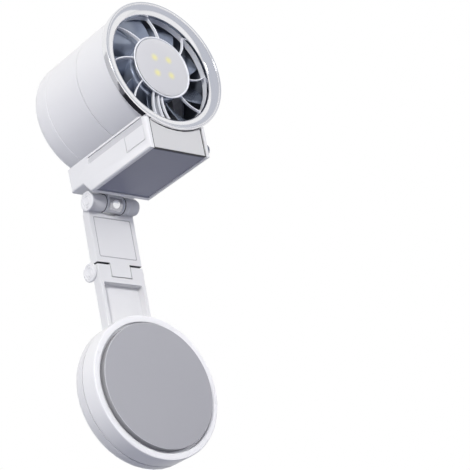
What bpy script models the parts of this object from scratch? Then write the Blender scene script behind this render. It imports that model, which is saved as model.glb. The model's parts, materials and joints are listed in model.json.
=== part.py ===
"""Portable turbo fan on a folding arm with a round magnetic pad, in metres, +Z up.

The origin is the centre of the pad's front face. The pad and the fan face -Y, and +X is to the
right as seen from the front. Run it with blender --background --python part.py.
"""

import math

import bmesh
import bpy
from mathutils import Matrix, Vector

# Clearances and counts shared by the whole object
GAP = 0.0003  # between pieces that touch or run on each other
OVERRUN = 0.0010  # how far a cut runs past the wall that it goes through
WELD = 0.00001
LARGE_STEPS = 44
MIDDLE_STEPS = 28
SMALL_STEPS = 14
PIN_STEPS = 10
KNUCKLE_STEPS = 9
LUG_KNUCKLE_STEPS = 12
CORNER_STEPS = 2
FUNNEL_STEPS = 4
BARREL_ROUND_STEPS = 3
SHARP_ANGLE = math.radians(35)
FLAT_ANGLE = math.radians(0.3)

# Magnetic disc
DISC_RADIUS = 0.0330
DISC_THICKNESS = 0.0147
DISC_FRONT_ROUND = 0.0007
DISC_BACK_ROUND = 0.0024
DISC_PARTING_DEPTH = 0.0085
DISC_SIDE_WALL = 0.0020
DISC_FLOOR = 0.0012
DISC_LAP = 0.0016
DISC_LAP_WALL = 0.0010
RIM_WIDTH = 0.0031
PAD_PROUD = 0.0018
PAD_SINK = 0.0011
PAD_GROOVE = 0.0011
PAD_ROUND = 0.0004
MAGNET_SIDE_GAP = 0.0030
MAGNET_WIDTH = 0.0052
MAGNET_THICKNESS = 0.0025
SHIELD_SIDE_GAP = 0.0019
SHIELD_THICKNESS = 0.0006

# Arm links
LINK_WIDTH = 0.0250
LINK_THICKNESS = 0.0047
LINK_ROUND = 0.0007
DISC_AXIS_SINK = 0.0065
LOWER_LINK_LENGTH = 0.0320
UPPER_LINK_LENGTH = 0.0320
MID_AXIS_BEHIND = 0.0007
HEAD_AXIS_AHEAD = 0.0014
MID_KNUCKLE_RADIUS = 0.0030
MID_PARTING = 0.0010
TONGUE_WIDTH = 0.0107
TONGUE_SIDE_GAP = 0.0004
TONGUE_LIP = 0.0001
NOTCH_GAP = 0.0005
POCKET_SIDE_WALL = 0.0018
POCKET_TOP_WALL = 0.0026
POCKET_BOTTOM_RISE = 0.0055
POCKET_DEPTH = 0.0033
POCKET_ROUND = 0.0006
STEP_BORDER = 0.0021
STEP_TOP_BORDER = 0.0026
STEP_BOTTOM_BORDER = 0.0027
STEP_DEPTH = 0.0004
STEP_WIDTH = 0.0018
COVER_RECESS = 0.0004
COVER_THICKNESS = 0.0008
SLOT_GAP = 0.0004

# Hinges: pins, caps, washers and the tension screw
DISC_PIN_RADIUS = 0.0008
DISC_PIN_REACH = 0.0032
MID_PIN_RADIUS = 0.0010
MID_CAP_RADIUS = 0.0044
HEAD_PIN_RADIUS = 0.0012
HEAD_KNUCKLE_RADIUS = 0.0040
HEAD_NECK_DROP = 0.0055
LUG_ROOM_DROP = 0.0020
SCREW_GROOVE_RADIUS = 0.0051
SCREW_GROOVE_WIDTH = 0.0050
HEAD_LEFT_CAP_RADIUS = 0.0046
HEAD_RIGHT_CAP_RADIUS = 0.0036
CAP_THICKNESS = 0.0009
CAP_RING_WIDTH = 0.0012
CAP_RING_DEPTH = 0.0003
CAP_PLUG_LENGTH = 0.0018
LUG_WIDTH = 0.0082
LUG_NECK = 0.0066
WASHER_THICKNESS = 0.0006
WASHER_PROUD = 0.0002
TENSION_ANGLE = math.radians(22)
TENSION_HEAD_RADIUS = 0.0021
TENSION_HEAD_HEIGHT = 0.0008
TENSION_HEAD_SINK = 0.0005
TENSION_HEAD_ROUND = 0.0004
TENSION_SHANK_RADIUS = 0.0008

# Head: places are measured ahead of the head hinge axis, and heights above it
FAN_AXIS_RISE = 0.0436
LIP_AHEAD = 0.0535
REAR_BEHIND = 0.0065
BEZEL_RADIUS = 0.0318
BEZEL_BAND = 0.0032
BEZEL_LIP_WIDTH = 0.0013
BEZEL_LIP_ROUND = 0.0006
BEZEL_SHEET = 0.0009
BEZEL_SPIGOT = 0.0023
OPENING_RADIUS = 0.0262
OPENING_DEPTH = 0.0031
BARREL_RADIUS = 0.0305
BARREL_WALL = 0.0018
BARREL_REAR_ROUND = 0.0042
BARREL_SEAM_AHEAD = 0.0288
BARREL_LAP = 0.0020
INTAKE_RADIUS = 0.0242
INTAKE_LIP = 0.0016
REAR_GRILLE_FLANGE = 0.0017
REAR_GRILLE_FLANGE_THICKNESS = 0.0012
REAR_GRILLE_RECESS = 0.0003
REAR_SLOT_CORNERS = (2, 3, 4, 4)  # along each slot, row by row from the centre
REAR_SLOT_HUB_RADIUS = 0.0050
REAR_SLOT_RIB = 0.0015
REAR_SLOTS_PER_TURN = 6
REAR_SLOT_PHASE = math.radians(2)

# Front grille, lamp and lens
GRILLE_RING_WIDTH = 0.0011
GRILLE_RING_DEPTH = 0.0026
SPOKE_COUNT = 8
SPOKE_PHASE = math.radians(34.5)
SPOKE_SWEEP = math.radians(14)
SPOKE_BOW = math.radians(-1.5)
SPOKE_THICKNESS = 0.0008
SPOKE_DEPTH = 0.0022
SPOKE_SET = 0.0002
SPOKE_STATIONS = 5
SPOKE_HUB_DEPTH = 0.0032
CHANNEL_SPOKE = 5
CHANNEL_NEAR = math.radians(7)
CHANNEL_FAR = math.radians(16.5)
CHANNEL_WEB = 0.0008
HUB_RADIUS = 0.0154
HUB_BACK_RADIUS = 0.0130
HUB_WALL = 0.0010
HUB_FRONT_DEPTH = 0.0023
HUB_FLOOR_DEPTH = 0.0050
HUB_FLOOR = 0.0008
LENS_EDGE = 0.0008
LENS_WINDOW = 0.0003
LENS_WINDOW_RADIUS = 0.0098
LENS_CROWN = 0.0006
LENS_ROUND = 0.0003
LAMP_BOARD_THICKNESS = 0.0008
LED_SIZE = 0.0028
LED_HEIGHT = 0.0006
LED_PITCH = 0.0078

# Impeller and motor
IMPELLER_RADIUS = 0.0276
IMPELLER_HUB_RADIUS = 0.0142
IMPELLER_HUB_LENGTH = 0.0158
IMPELLER_HUB_ROUND = 0.0016
IMPELLER_FRONT_GAP = 0.0010
IMPELLER_WALL = 0.0014
IMPELLER_BOSS_RADIUS = 0.0026
IMPELLER_BOSS_LENGTH = 0.0036
BLADE_COUNT = 9
BLADE_STATIONS = 4
BLADE_POINTS = 4
BLADE_ROOT_SINK = 0.0007
BLADE_FRONT_SET = 0.0012
BLADE_ROOT_CHORD = 0.0145
BLADE_TIP_CHORD = 0.0185
BLADE_ROOT_PITCH = math.radians(58)
BLADE_TIP_PITCH = math.radians(36)
BLADE_SWEEP = math.radians(16)
BLADE_CAMBER_SHARE = 0.11
BLADE_THICKNESS = 0.0011
BLADE_EDGE_SHARE = 0.5
BLADE_TIP_THICKNESS = 0.0008
SHAFT_RADIUS = 0.0010
BEARING_RADIUS = 0.0026
BEARING_LENGTH = 0.0030
TUBE_WALL = 0.0010
ROTOR_MAGNET_WALL = 0.0013
ROTOR_MAGNET_LENGTH = 0.0100
STATOR_AIR_GAP = 0.0005
STATOR_LENGTH = 0.0080
STATOR_POLES = 9
STATOR_CORE_SHARE = 0.58
STATOR_SHOE_SHARE = 0.90
STATOR_NECK_SHARE = 0.35
STATOR_TIP_SHARE = 0.80
MOUNT_GAP = 0.0010
MOUNT_PLATE = 0.0015
MOUNT_RING_WALL = 0.0012
VANE_COUNT = 7
VANE_DEPTH = 0.0060
VANE_THICKNESS = 0.0011
VANE_LEAN = math.radians(28)
VANE_STATIONS = 3

# Battery box under the barrel
BOX_WIDTH = 0.0332
BOX_FRONT_BACKSET = 0.0012
BOX_BASE_RISE = 0.0007
BOX_ROUND = 0.0008
BOX_WALL = 0.0019
BOX_ROOF = 0.0016
BOX_REAR_BLOCK_AHEAD = 0.0095
NOTCH_AHEAD = 0.0076
NOTCH_TOP_AHEAD = 0.0030
NOTCH_RISE = 0.0062
BOX_REAR_DRAFT = 0.0006
BAND_LOW_RISE = 0.0133
BAND_HIGH_RISE = 0.0162
BAND_LOW_SINK = 0.0006
BAND_HIGH_SINK = 0.0002
BAND_GROOVE = 0.0004
BAND_GROOVE_SINK = 0.0008
BAND_FRONT_SET = 0.0028
FRONT_PLATE_SET = 0.0005
FRONT_PLATE_THICKNESS = 0.0012
PANEL_SET = 0.0005
PANEL_THICKNESS = 0.0012
BATTERY_SIDE_GAP = 0.0022
BATTERY_LENGTH = 0.0245
BATTERY_HEIGHT = 0.0070
BATTERY_REAR_GAP = 0.0015
BATTERY_ROUND = 0.0015
BOARD_RISE = 0.0060
BOARD_THICKNESS = 0.0012
BOARD_LENGTH = 0.0138
POST_RADIUS = 0.0014
POST_INSET = 0.0030

# Power button on the right wall
BUTTON_RADIUS = 0.0031
BUTTON_PROUD = 0.0024
BUTTON_ROUND = 0.0007
BUTTON_AHEAD = 0.0476
BUTTON_RISE = 0.0065
BUTTON_TRAVEL = 0.0005
BUTTON_SEAT = 0.0006
BUTTON_STEM_RADIUS = 0.0020
BUTTON_CLIP_RADIUS = 0.0026
BUTTON_CLIP_THICKNESS = 0.0006
SWITCH_DEPTH = 0.0027
SWITCH_SIZE = 0.0040

# Charging inlet and its cover on the left wall
COVER_DOOR_LENGTH = 0.0130
COVER_DOOR_HEIGHT = 0.0072
COVER_DOOR_THICKNESS = 0.0009
COVER_DOOR_AHEAD = 0.0430
COVER_DOOR_RISE = 0.0058
INLET_WIDTH = 0.0076
INLET_HEIGHT = 0.0028
INLET_LENGTH = 0.0052
INLET_WALL = 0.0004
INLET_MOUTH_DEPTH = 0.0040
INLET_TONGUE = 0.0007
INLET_TONGUE_WIDTH = 0.0040
INLET_WINDOW_GAP = 0.0004

# Places worked out from the sizes above
PAD_RADIUS = DISC_RADIUS - RIM_WIDTH - PAD_GROOVE
MAGNET_OUTER_RADIUS = DISC_RADIUS - DISC_SIDE_WALL - MAGNET_SIDE_GAP
MAGNET_INNER_RADIUS = MAGNET_OUTER_RADIUS - MAGNET_WIDTH
RIM_Y = PAD_PROUD
DISC_BACK_Y = RIM_Y + DISC_THICKNESS
LINK_BACK_Y = DISC_BACK_Y
LINK_FRONT_Y = LINK_BACK_Y - LINK_THICKNESS
DISC_AXIS = Vector((0, (LINK_FRONT_Y + LINK_BACK_Y) / 2, DISC_RADIUS - DISC_AXIS_SINK))
MID_AXIS = Vector((0, LINK_BACK_Y + MID_AXIS_BEHIND, DISC_AXIS.z + LOWER_LINK_LENGTH))
HEAD_AXIS = Vector((0, LINK_FRONT_Y - HEAD_AXIS_AHEAD, MID_AXIS.z + UPPER_LINK_LENGTH))
FAN_CENTRE = HEAD_AXIS + Vector((0, 0, FAN_AXIS_RISE))
LINK_HALF = LINK_WIDTH / 2
BOX_HALF = BOX_WIDTH / 2
BOX_INNER_HALF = BOX_HALF - BOX_WALL
BATTERY_HALF = BOX_INNER_HALF - BATTERY_SIDE_GAP
SWITCH_FACE = BOX_INNER_HALF - GAP - BUTTON_CLIP_THICKNESS - BUTTON_TRAVEL - GAP
BOX_FRONT_AHEAD = LIP_AHEAD - BOX_FRONT_BACKSET
BEZEL_BACK_AHEAD = LIP_AHEAD - BEZEL_BAND
BARREL_INNER_RADIUS = BARREL_RADIUS - BARREL_WALL
UPPER_FOOT_Z = MID_AXIS.z + MID_KNUCKLE_RADIUS + GAP
HEAD_CREASE_Z = HEAD_AXIS.z - math.sqrt(HEAD_KNUCKLE_RADIUS**2 - HEAD_AXIS_AHEAD**2)
LUG_ROOM_RADIUS = HEAD_KNUCKLE_RADIUS + WASHER_PROUD + GAP
TONGUE_TIP_Z = MID_AXIS.z - MID_KNUCKLE_RADIUS - TONGUE_LIP
NOTCH_FLOOR_Z = TONGUE_TIP_Z - NOTCH_GAP
NOTCH_HALF = TONGUE_WIDTH / 2 + TONGUE_SIDE_GAP
EAR_INNER = LUG_WIDTH / 2 + GAP + WASHER_THICKNESS + GAP
HUB_BACK_DEPTH = HUB_FLOOR_DEPTH + HUB_FLOOR
HUB_BACK_AHEAD = LIP_AHEAD - HUB_BACK_DEPTH
LAMP_BOARD_BACK_AHEAD = LIP_AHEAD - HUB_FLOOR_DEPTH + GAP
LED_BACK_AHEAD = LAMP_BOARD_BACK_AHEAD + LAMP_BOARD_THICKNESS + GAP
IMPELLER_FRONT_AHEAD = HUB_BACK_AHEAD - IMPELLER_FRONT_GAP
IMPELLER_BACK_AHEAD = IMPELLER_FRONT_AHEAD - IMPELLER_HUB_LENGTH
MOUNT_FRONT_AHEAD = IMPELLER_BACK_AHEAD - MOUNT_GAP
TUBE_INNER_RADIUS = BEARING_RADIUS + GAP
TUBE_RADIUS = TUBE_INNER_RADIUS + TUBE_WALL
TUBE_FRONT_AHEAD = IMPELLER_FRONT_AHEAD - IMPELLER_BOSS_LENGTH - IMPELLER_WALL - GAP
BOSS_BORE_RADIUS = SHAFT_RADIUS + GAP
PANEL_TOP_RISE = BOX_BASE_RISE + PANEL_SET + PANEL_THICKNESS
DOOR_AXIS = HEAD_AXIS + Vector(
    (
        -BOX_HALF + COVER_DOOR_THICKNESS / 2,
        -COVER_DOOR_AHEAD,
        COVER_DOOR_RISE + COVER_DOOR_THICKNESS / 2,
    )
)
BUTTON_CENTRE = HEAD_AXIS + Vector((0, -BUTTON_AHEAD, BUTTON_RISE))

# Finishes: base colour, roughness and metallic value
FINISHES = {
    "white_shell": ((0.86, 0.86, 0.88), 0.28, 0.0),
    "arm_grey": ((0.78, 0.78, 0.80), 0.38, 0.0),
    "plate_grey": ((0.52, 0.52, 0.55), 0.42, 0.0),
    "slate": ((0.10, 0.11, 0.16), 0.40, 0.0),
    "pad_rubber": ((0.42, 0.42, 0.45), 0.62, 0.0),
    "chrome": ((0.86, 0.87, 0.89), 0.08, 1.0),
    "grille_white": ((0.88, 0.89, 0.92), 0.22, 0.0),
    "impeller_blue": ((0.03, 0.05, 0.11), 0.14, 0.0),
    "lens": ((0.72, 0.71, 0.78), 0.30, 0.0),
    "led": ((0.95, 0.86, 0.45), 0.35, 0.0),
    "board": ((0.08, 0.22, 0.14), 0.50, 0.0),
    "steel": ((0.62, 0.62, 0.64), 0.30, 1.0),
    "magnet": ((0.35, 0.35, 0.37), 0.35, 1.0),
    "battery": ((0.55, 0.56, 0.58), 0.45, 0.2),
    "copper": ((0.72, 0.38, 0.20), 0.35, 1.0),
}

AXES = {}
GROUPS = {}


def clear_scene():
    for obj in list(bpy.data.objects):
        bpy.data.objects.remove(obj, do_unlink=True)


def make_groups():
    for key, name in (("part", "portable_turbo_fan"), ("tools", "cutters_and_guides")):
        group = bpy.data.collections.new(name)
        bpy.context.scene.collection.children.link(group)
        GROUPS[key] = group


def make_finish(name):
    colour, roughness, metallic = FINISHES[name]
    material = bpy.data.materials.get(name) or bpy.data.materials.new(name)
    material.use_nodes = True
    shader = material.node_tree.nodes["Principled BSDF"]
    shader.inputs["Base Color"].default_value = (*colour, 1)
    shader.inputs["Roughness"].default_value = roughness
    shader.inputs["Metallic"].default_value = metallic
    return material


def make_axis(name, place):
    """An empty on a joint's axis, which carries the pieces that turn or slide about it."""
    empty = bpy.data.objects.new(name, None)
    empty.location = place
    empty.empty_display_size = LINK_HALF
    GROUPS["part"].objects.link(empty)
    AXES[name] = empty


def add_object(name, mesh, finish=None, axis=None):
    """Links a mesh as a piece with a finish or, without one, as a cutter or a guide."""
    obj = bpy.data.objects.new(name, mesh)
    if finish is None:
        GROUPS["tools"].objects.link(obj)
        obj.hide_render = True
        obj.display_type = "WIRE"
        return obj
    GROUPS["part"].objects.link(obj)
    mesh.materials.append(make_finish(finish))
    if axis is not None:
        obj.parent = AXES[axis]
        obj.matrix_parent_inverse = Matrix.Translation(-AXES[axis].location)
    return obj


def add_bmesh(name, bm, finish=None, axis=None):
    bmesh.ops.recalc_face_normals(bm, faces=bm.faces)
    mesh = bpy.data.meshes.new(name)
    bm.to_mesh(mesh)
    bm.free()
    mesh.shade_smooth()
    mesh.set_sharp_from_angle(angle=SHARP_ANGLE)
    return add_object(name, mesh, finish, axis)


def arc(centre, radius, start, end, steps=CORNER_STEPS):
    """Points along an arc, its ends included; angles are in degrees."""
    points = []
    for i in range(steps + 1):
        angle = math.radians(start + (end - start) * i / steps)
        points.append((centre[0] + radius * math.cos(angle), centre[1] + radius * math.sin(angle)))
    return points


FACINGS = {
    "forward": (math.pi / 2, 0, 0),
    "right": (0, math.pi / 2, 0),
    "left": (0, -math.pi / 2, 0),
}


def turned(
    name, profile, centre, facing="forward", finish=None, axis=None, steps=LARGE_STEPS, closed=False
):
    """Turns a profile of (radius, distance along the facing) points; its outer side runs front to back."""
    bm = bmesh.new()
    verts = [bm.verts.new((radius, 0, along)) for radius, along in profile]
    pairs = list(zip(verts, verts[1:]))
    if closed:
        pairs.append((verts[-1], verts[0]))
    for a, b in pairs:
        bm.edges.new((a, b))
    mesh = bpy.data.meshes.new(name)
    bm.to_mesh(mesh)
    bm.free()
    obj = add_object(name, mesh, finish, axis)
    obj.location = centre
    obj.rotation_euler = FACINGS[facing] if isinstance(facing, str) else facing
    screw = obj.modifiers.new("turn", "SCREW")
    screw.axis = "Z"
    screw.steps = screw.render_steps = steps
    screw.use_merge_vertices = True
    screw.merge_threshold = WELD
    screw.use_smooth_shade = True
    return obj


def ring(name, inner, outer, front, back, centre, **settings):
    """A plain turned ring between two radii."""
    profile = [(inner, front), (outer, front), (outer, back), (inner, back)]
    return turned(name, profile, centre, closed=True, **settings)


def rod(name, radius, front, back, centre, **settings):
    """A plain turned rod or disc."""
    return turned(name, [(0, front), (radius, front), (radius, back), (0, back)], centre, **settings)


def block_mesh(low, high):
    """A bmesh box between two corners."""
    bm = bmesh.new()
    bmesh.ops.create_cube(bm, size=1)
    low, high = Vector(low), Vector(high)
    size = high - low
    bmesh.ops.scale(bm, vec=size, verts=bm.verts)
    bmesh.ops.translate(bm, vec=(low + high) / 2, verts=bm.verts)
    return bm


def round_edges(bm, chosen, radius, segments=CORNER_STEPS):
    """Rounds the edges for which chosen(first corner, second corner) is true."""
    edges = [edge for edge in bm.edges if chosen(edge.verts[0].co, edge.verts[1].co)]
    bmesh.ops.bevel(
        bm, geom=edges, offset=radius, segments=segments, profile=0.5, affect="EDGES", clamp_overlap=True
    )


def along(direction):
    """A test for edges that run along one axis: 0, 1 or 2 for X, Y or Z."""

    def test(a, b):
        return all(abs(a[i] - b[i]) < WELD for i in range(3) if i != direction)

    return test


def block(name, low, high, finish=None, axis=None, rounded=None, radius=0):
    bm = block_mesh(low, high)
    if rounded is not None:
        round_edges(bm, along(rounded), radius)
    return add_bmesh(name, bm, finish, axis)


def hull(name, outline, left, right, finish=None, axis=None):
    """The convex solid around an outline of (y, z) points, from x = left to x = right."""
    bm = bmesh.new()
    for x in (left, right):
        for y, z in outline:
            bm.verts.new((x, y, z))
    made = bmesh.ops.convex_hull(bm, input=bm.verts)
    spare = [g for g in made["geom_interior"] + made["geom_unused"] if isinstance(g, bmesh.types.BMVert)]
    bmesh.ops.delete(bm, geom=list(set(spare)), context="VERTS")
    return add_bmesh(name, bm, finish, axis)


def prism_mesh(outline, left, right):
    """A bmesh prism of an outline of (y, z) points, from x = left to x = right."""
    bm = bmesh.new()
    face = bm.faces.new([bm.verts.new((left, y, z)) for y, z in outline])
    made = bmesh.ops.extrude_face_region(bm, geom=[face])
    moved = [g for g in made["geom"] if isinstance(g, bmesh.types.BMVert)]
    bmesh.ops.translate(bm, vec=(right - left, 0, 0), verts=moved)
    return bm


def lofts(name, solids):
    """One hidden mesh of separate lofted solids, each a list of sections with as many points."""
    bm = bmesh.new()
    for sections in solids:
        loops = [[bm.verts.new(point) for point in section] for section in sections]
        for first, second in zip(loops, loops[1:]):
            for i in range(len(first)):
                j = (i + 1) % len(first)
                bm.faces.new((first[i], first[j], second[j], second[i]))
        bm.faces.new(loops[0])
        bm.faces.new(loops[-1])
    return add_bmesh(name, bm)


def combine(target, operand, operation):
    modifier = target.modifiers.new(operand.name, "BOOLEAN")
    modifier.operation = operation
    modifier.solver = "EXACT"
    modifier.object = operand


def cut(target, operand):
    combine(target, operand, "DIFFERENCE")


def join(target, operand):
    combine(target, operand, "UNION")


def merge_flats(target):
    """Merges the slivers that the cuts leave in flat faces."""
    modifier = target.modifiers.new("merge_flats", "DECIMATE")
    modifier.decimate_type = "DISSOLVE"
    modifier.angle_limit = FLAT_ANGLE


def in_fan(radius, angle, ahead):
    """A point by its radius and angle about the fan's axis, and its place ahead of the head hinge."""
    return FAN_CENTRE + Vector((radius * math.cos(angle), -ahead, radius * math.sin(angle)))


# The magnetic disc


def make_magnetic_pad():
    back = PAD_PROUD + PAD_SINK
    profile = [(0, 0)]
    profile += arc((PAD_RADIUS - PAD_ROUND, -PAD_ROUND), PAD_ROUND, 90, 0)
    profile += [(PAD_RADIUS, -back), (0, -back)]
    turned("magnetic_pad", profile, (0, 0, 0), finish="pad_rubber")


def make_disc_shells():
    rim_inner = PAD_RADIUS + PAD_GROOVE
    seat = -(RIM_Y + PAD_SINK + GAP)
    parting = -(RIM_Y + DISC_PARTING_DEPTH)
    inner = DISC_RADIUS - DISC_SIDE_WALL
    profile = [(0, seat), (rim_inner, seat)]
    profile += arc((rim_inner + DISC_FRONT_ROUND, -RIM_Y - DISC_FRONT_ROUND), DISC_FRONT_ROUND, 180, 90)
    profile += arc((DISC_RADIUS - DISC_FRONT_ROUND, -RIM_Y - DISC_FRONT_ROUND), DISC_FRONT_ROUND, 90, 0)
    profile += [(DISC_RADIUS, parting), (inner, parting)]
    profile += [(inner, seat - DISC_FLOOR), (0, seat - DISC_FLOOR)]
    turned("disc_front_shell", profile, (0, 0, 0), finish="white_shell")

    lap_outer = inner - GAP
    lap_inner = lap_outer - DISC_LAP_WALL
    face = parting - GAP
    floor = -(LINK_FRONT_Y - SLOT_GAP - DISC_FLOOR)
    profile = [(0, floor), (lap_inner, floor), (lap_inner, face + DISC_LAP), (lap_outer, face + DISC_LAP)]
    profile += [(lap_outer, face), (DISC_RADIUS, face)]
    profile += arc((DISC_RADIUS - DISC_BACK_ROUND, -DISC_BACK_Y + DISC_BACK_ROUND), DISC_BACK_ROUND, 0, -90)
    profile += [(0, -DISC_BACK_Y)]
    rear = turned("disc_rear_shell", profile, (0, 0, 0), finish="white_shell")
    slot_half = LINK_HALF + SLOT_GAP
    slot = block(
        "link_slot_cutter",
        (-slot_half, LINK_FRONT_Y - SLOT_GAP, DISC_AXIS.z - LINK_THICKNESS / 2 - NOTCH_GAP),
        (slot_half, DISC_BACK_Y + OVERRUN, DISC_RADIUS + OVERRUN),
    )
    cut(rear, slot)
    reach = slot_half + DISC_PIN_REACH + GAP
    radius = DISC_PIN_RADIUS + GAP
    bore = rod("disc_pin_bore_cutter", radius, reach, -reach, DISC_AXIS, facing="right", steps=SMALL_STEPS)
    cut(rear, bore)
    merge_flats(rear)


def make_disc_magnets():
    seat = -(RIM_Y + PAD_SINK + GAP + DISC_FLOOR)
    front = seat - GAP
    back = front - MAGNET_THICKNESS
    ring("magnet_ring", MAGNET_INNER_RADIUS, MAGNET_OUTER_RADIUS, front, back, (0, 0, 0), finish="magnet")
    shield_front = back - GAP
    shield_radius = DISC_RADIUS - DISC_SIDE_WALL - SHIELD_SIDE_GAP
    rod("steel_shield", shield_radius, shield_front, shield_front - SHIELD_THICKNESS, (0, 0, 0), finish="steel")


def make_disc_hinge_pin():
    reach = LINK_HALF + SLOT_GAP + DISC_PIN_REACH
    settings = {"facing": "right", "finish": "steel", "steps": PIN_STEPS}
    rod("disc_hinge_pin", DISC_PIN_RADIUS, reach, -reach, DISC_AXIS, **settings)


# The two arm links


def tangent(point, centre, radius, turn):
    """The angle, in degrees, at which the line from a point touches a circle on the side given by turn."""
    across, up = point[0] - centre.y, point[1] - centre.z
    angle = math.atan2(up, across) + turn * math.acos(radius / math.hypot(across, up))
    return math.degrees(angle) % 360


def knuckle(centre, radius, first, second, steps):
    """The arc of a round knuckle from the line of its first corner point to that of its second."""
    start = tangent(first, centre, radius, 1)
    end = tangent(second, centre, radius, -1)
    if end < start:
        end += 360
    return arc((centre.y, centre.z), radius, start, end, steps)


def link_body(name, outline, axis):
    """A link's side outline across its whole width, with its four long edges rounded."""
    bm = prism_mesh(outline, -LINK_HALF, LINK_HALF)
    round_edges(bm, along(2), LINK_ROUND)
    # The long rounded strips aren't quite flat, so they are split before any Boolean.
    bmesh.ops.triangulate(bm, faces=bm.faces)
    return add_bmesh(name, bm, "arm_grey", axis)


def make_lower_link():
    half = LINK_THICKNESS / 2
    shoulder = (LINK_BACK_Y, MID_AXIS.z - MID_KNUCKLE_RADIUS)
    top = (LINK_FRONT_Y, UPPER_FOOT_Z - MID_PARTING)
    outline = arc((DISC_AXIS.y, DISC_AXIS.z), half, 180, 360, KNUCKLE_STEPS) + [shoulder]
    outline += knuckle(MID_AXIS, MID_KNUCKLE_RADIUS, shoulder, top, KNUCKLE_STEPS) + [top]
    link = link_body("lower_link", outline, "disc_hinge")
    notch = block(
        "lower_link_notch_cutter",
        (-NOTCH_HALF, LINK_FRONT_Y - OVERRUN, NOTCH_FLOOR_Z),
        (NOTCH_HALF, MID_AXIS.y + MID_KNUCKLE_RADIUS + OVERRUN, MID_AXIS.z + MID_KNUCKLE_RADIUS + OVERRUN),
    )
    cut(link, notch)
    pocket_half = LINK_HALF - POCKET_SIDE_WALL
    pocket = block(
        "lower_link_pocket_cutter",
        (-pocket_half, LINK_FRONT_Y - OVERRUN, DISC_AXIS.z + POCKET_BOTTOM_RISE),
        (pocket_half, LINK_FRONT_Y + POCKET_DEPTH, NOTCH_FLOOR_Z - POCKET_TOP_WALL),
        rounded=1,
        radius=POCKET_ROUND,
    )
    cut(link, pocket)
    bore_pin(link, "lower_link_mid_bore_cutter", MID_PIN_RADIUS, MID_AXIS)
    bore_pin(link, "lower_link_disc_bore_cutter", DISC_PIN_RADIUS, DISC_AXIS)


def make_upper_link():
    tongue = (LINK_FRONT_Y, TONGUE_TIP_Z)
    foot = (LINK_BACK_Y, MID_AXIS.z + MID_KNUCKLE_RADIUS)
    neck = (LINK_BACK_Y, HEAD_AXIS.z - HEAD_NECK_DROP)
    outline = [tongue] + knuckle(MID_AXIS, MID_KNUCKLE_RADIUS, tongue, foot, KNUCKLE_STEPS) + [foot, neck]
    # The head knuckle leaves the back in one smooth line and meets the front face in a crease.
    start = tangent(neck, HEAD_AXIS, HEAD_KNUCKLE_RADIUS, 1)
    crease = math.degrees(math.atan2(HEAD_CREASE_Z - HEAD_AXIS.z, HEAD_AXIS_AHEAD)) % 360
    outline += arc((HEAD_AXIS.y, HEAD_AXIS.z), HEAD_KNUCKLE_RADIUS, start, crease, LUG_KNUCKLE_STEPS)
    link = link_body("upper_link", outline, "mid_hinge")
    low = MID_AXIS.z - MID_KNUCKLE_RADIUS - OVERRUN
    back = MID_AXIS.y + MID_KNUCKLE_RADIUS + OVERRUN
    inner, outer = TONGUE_WIDTH / 2, LINK_HALF + OVERRUN
    for side, left, right in (("left", -outer, -inner), ("right", inner, outer)):
        shoulder = block(
            f"upper_link_{side}_shoulder_cutter",
            (left, LINK_FRONT_Y - OVERRUN, low),
            (right, back, UPPER_FOOT_Z),
        )
        cut(link, shoulder)
    cut_lug_room(link)
    step_half = LINK_HALF - STEP_BORDER
    low_z, high_z = UPPER_FOOT_Z + STEP_BOTTOM_BORDER, HEAD_CREASE_Z - STEP_TOP_BORDER
    step = block(
        "upper_link_step_cutter",
        (-step_half, LINK_FRONT_Y - OVERRUN, low_z),
        (step_half, LINK_FRONT_Y + STEP_DEPTH, high_z),
        rounded=1,
        radius=POCKET_ROUND,
    )
    cut(link, step)
    seat_half = step_half - STEP_WIDTH
    low_z, high_z = low_z + STEP_WIDTH / 2, high_z - STEP_WIDTH
    seat_y = LINK_FRONT_Y + COVER_RECESS + COVER_THICKNESS + GAP
    seat = block(
        "upper_link_cover_cutter",
        (-seat_half, LINK_FRONT_Y - OVERRUN, low_z),
        (seat_half, seat_y, high_z),
        rounded=1,
        radius=POCKET_ROUND,
    )
    cut(link, seat)
    bore_pin(link, "upper_link_mid_bore_cutter", MID_PIN_RADIUS, MID_AXIS)
    bore_pin(link, "upper_link_head_bore_cutter", HEAD_PIN_RADIUS, HEAD_AXIS)
    merge_flats(link)
    block(
        "upper_link_cover",
        (-seat_half + GAP, LINK_FRONT_Y + COVER_RECESS, low_z + GAP),
        (seat_half - GAP, seat_y - GAP, high_z - GAP),
        "arm_grey",
        "mid_hinge",
        rounded=1,
        radius=POCKET_ROUND,
    )


def cut_lug_room(link):
    """The room in the upper link that the lug, its neck and the screw's head turn in."""
    reach = HEAD_KNUCKLE_RADIUS + OVERRUN
    neck_room = block(
        "upper_link_lug_neck_cutter",
        (-EAR_INNER, HEAD_AXIS.y - reach, HEAD_AXIS.z - LUG_ROOM_DROP),
        (EAR_INNER, LINK_BACK_Y + OVERRUN, HEAD_AXIS.z + reach),
    )
    cut(link, neck_room)
    groove_half = SCREW_GROOVE_WIDTH / 2
    for name, radius, half in (("lug", LUG_ROOM_RADIUS, EAR_INNER), ("screw", SCREW_GROOVE_RADIUS, groove_half)):
        cutter = f"upper_link_{name}_room_cutter"
        cut(link, rod(cutter, radius, half, -half, HEAD_AXIS, facing="right", steps=MIDDLE_STEPS))


def bore_pin(target, name, radius, centre):
    reach = LINK_HALF + OVERRUN
    cut(target, rod(name, radius + GAP, reach, -reach, centre, facing="right", steps=SMALL_STEPS))


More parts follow.
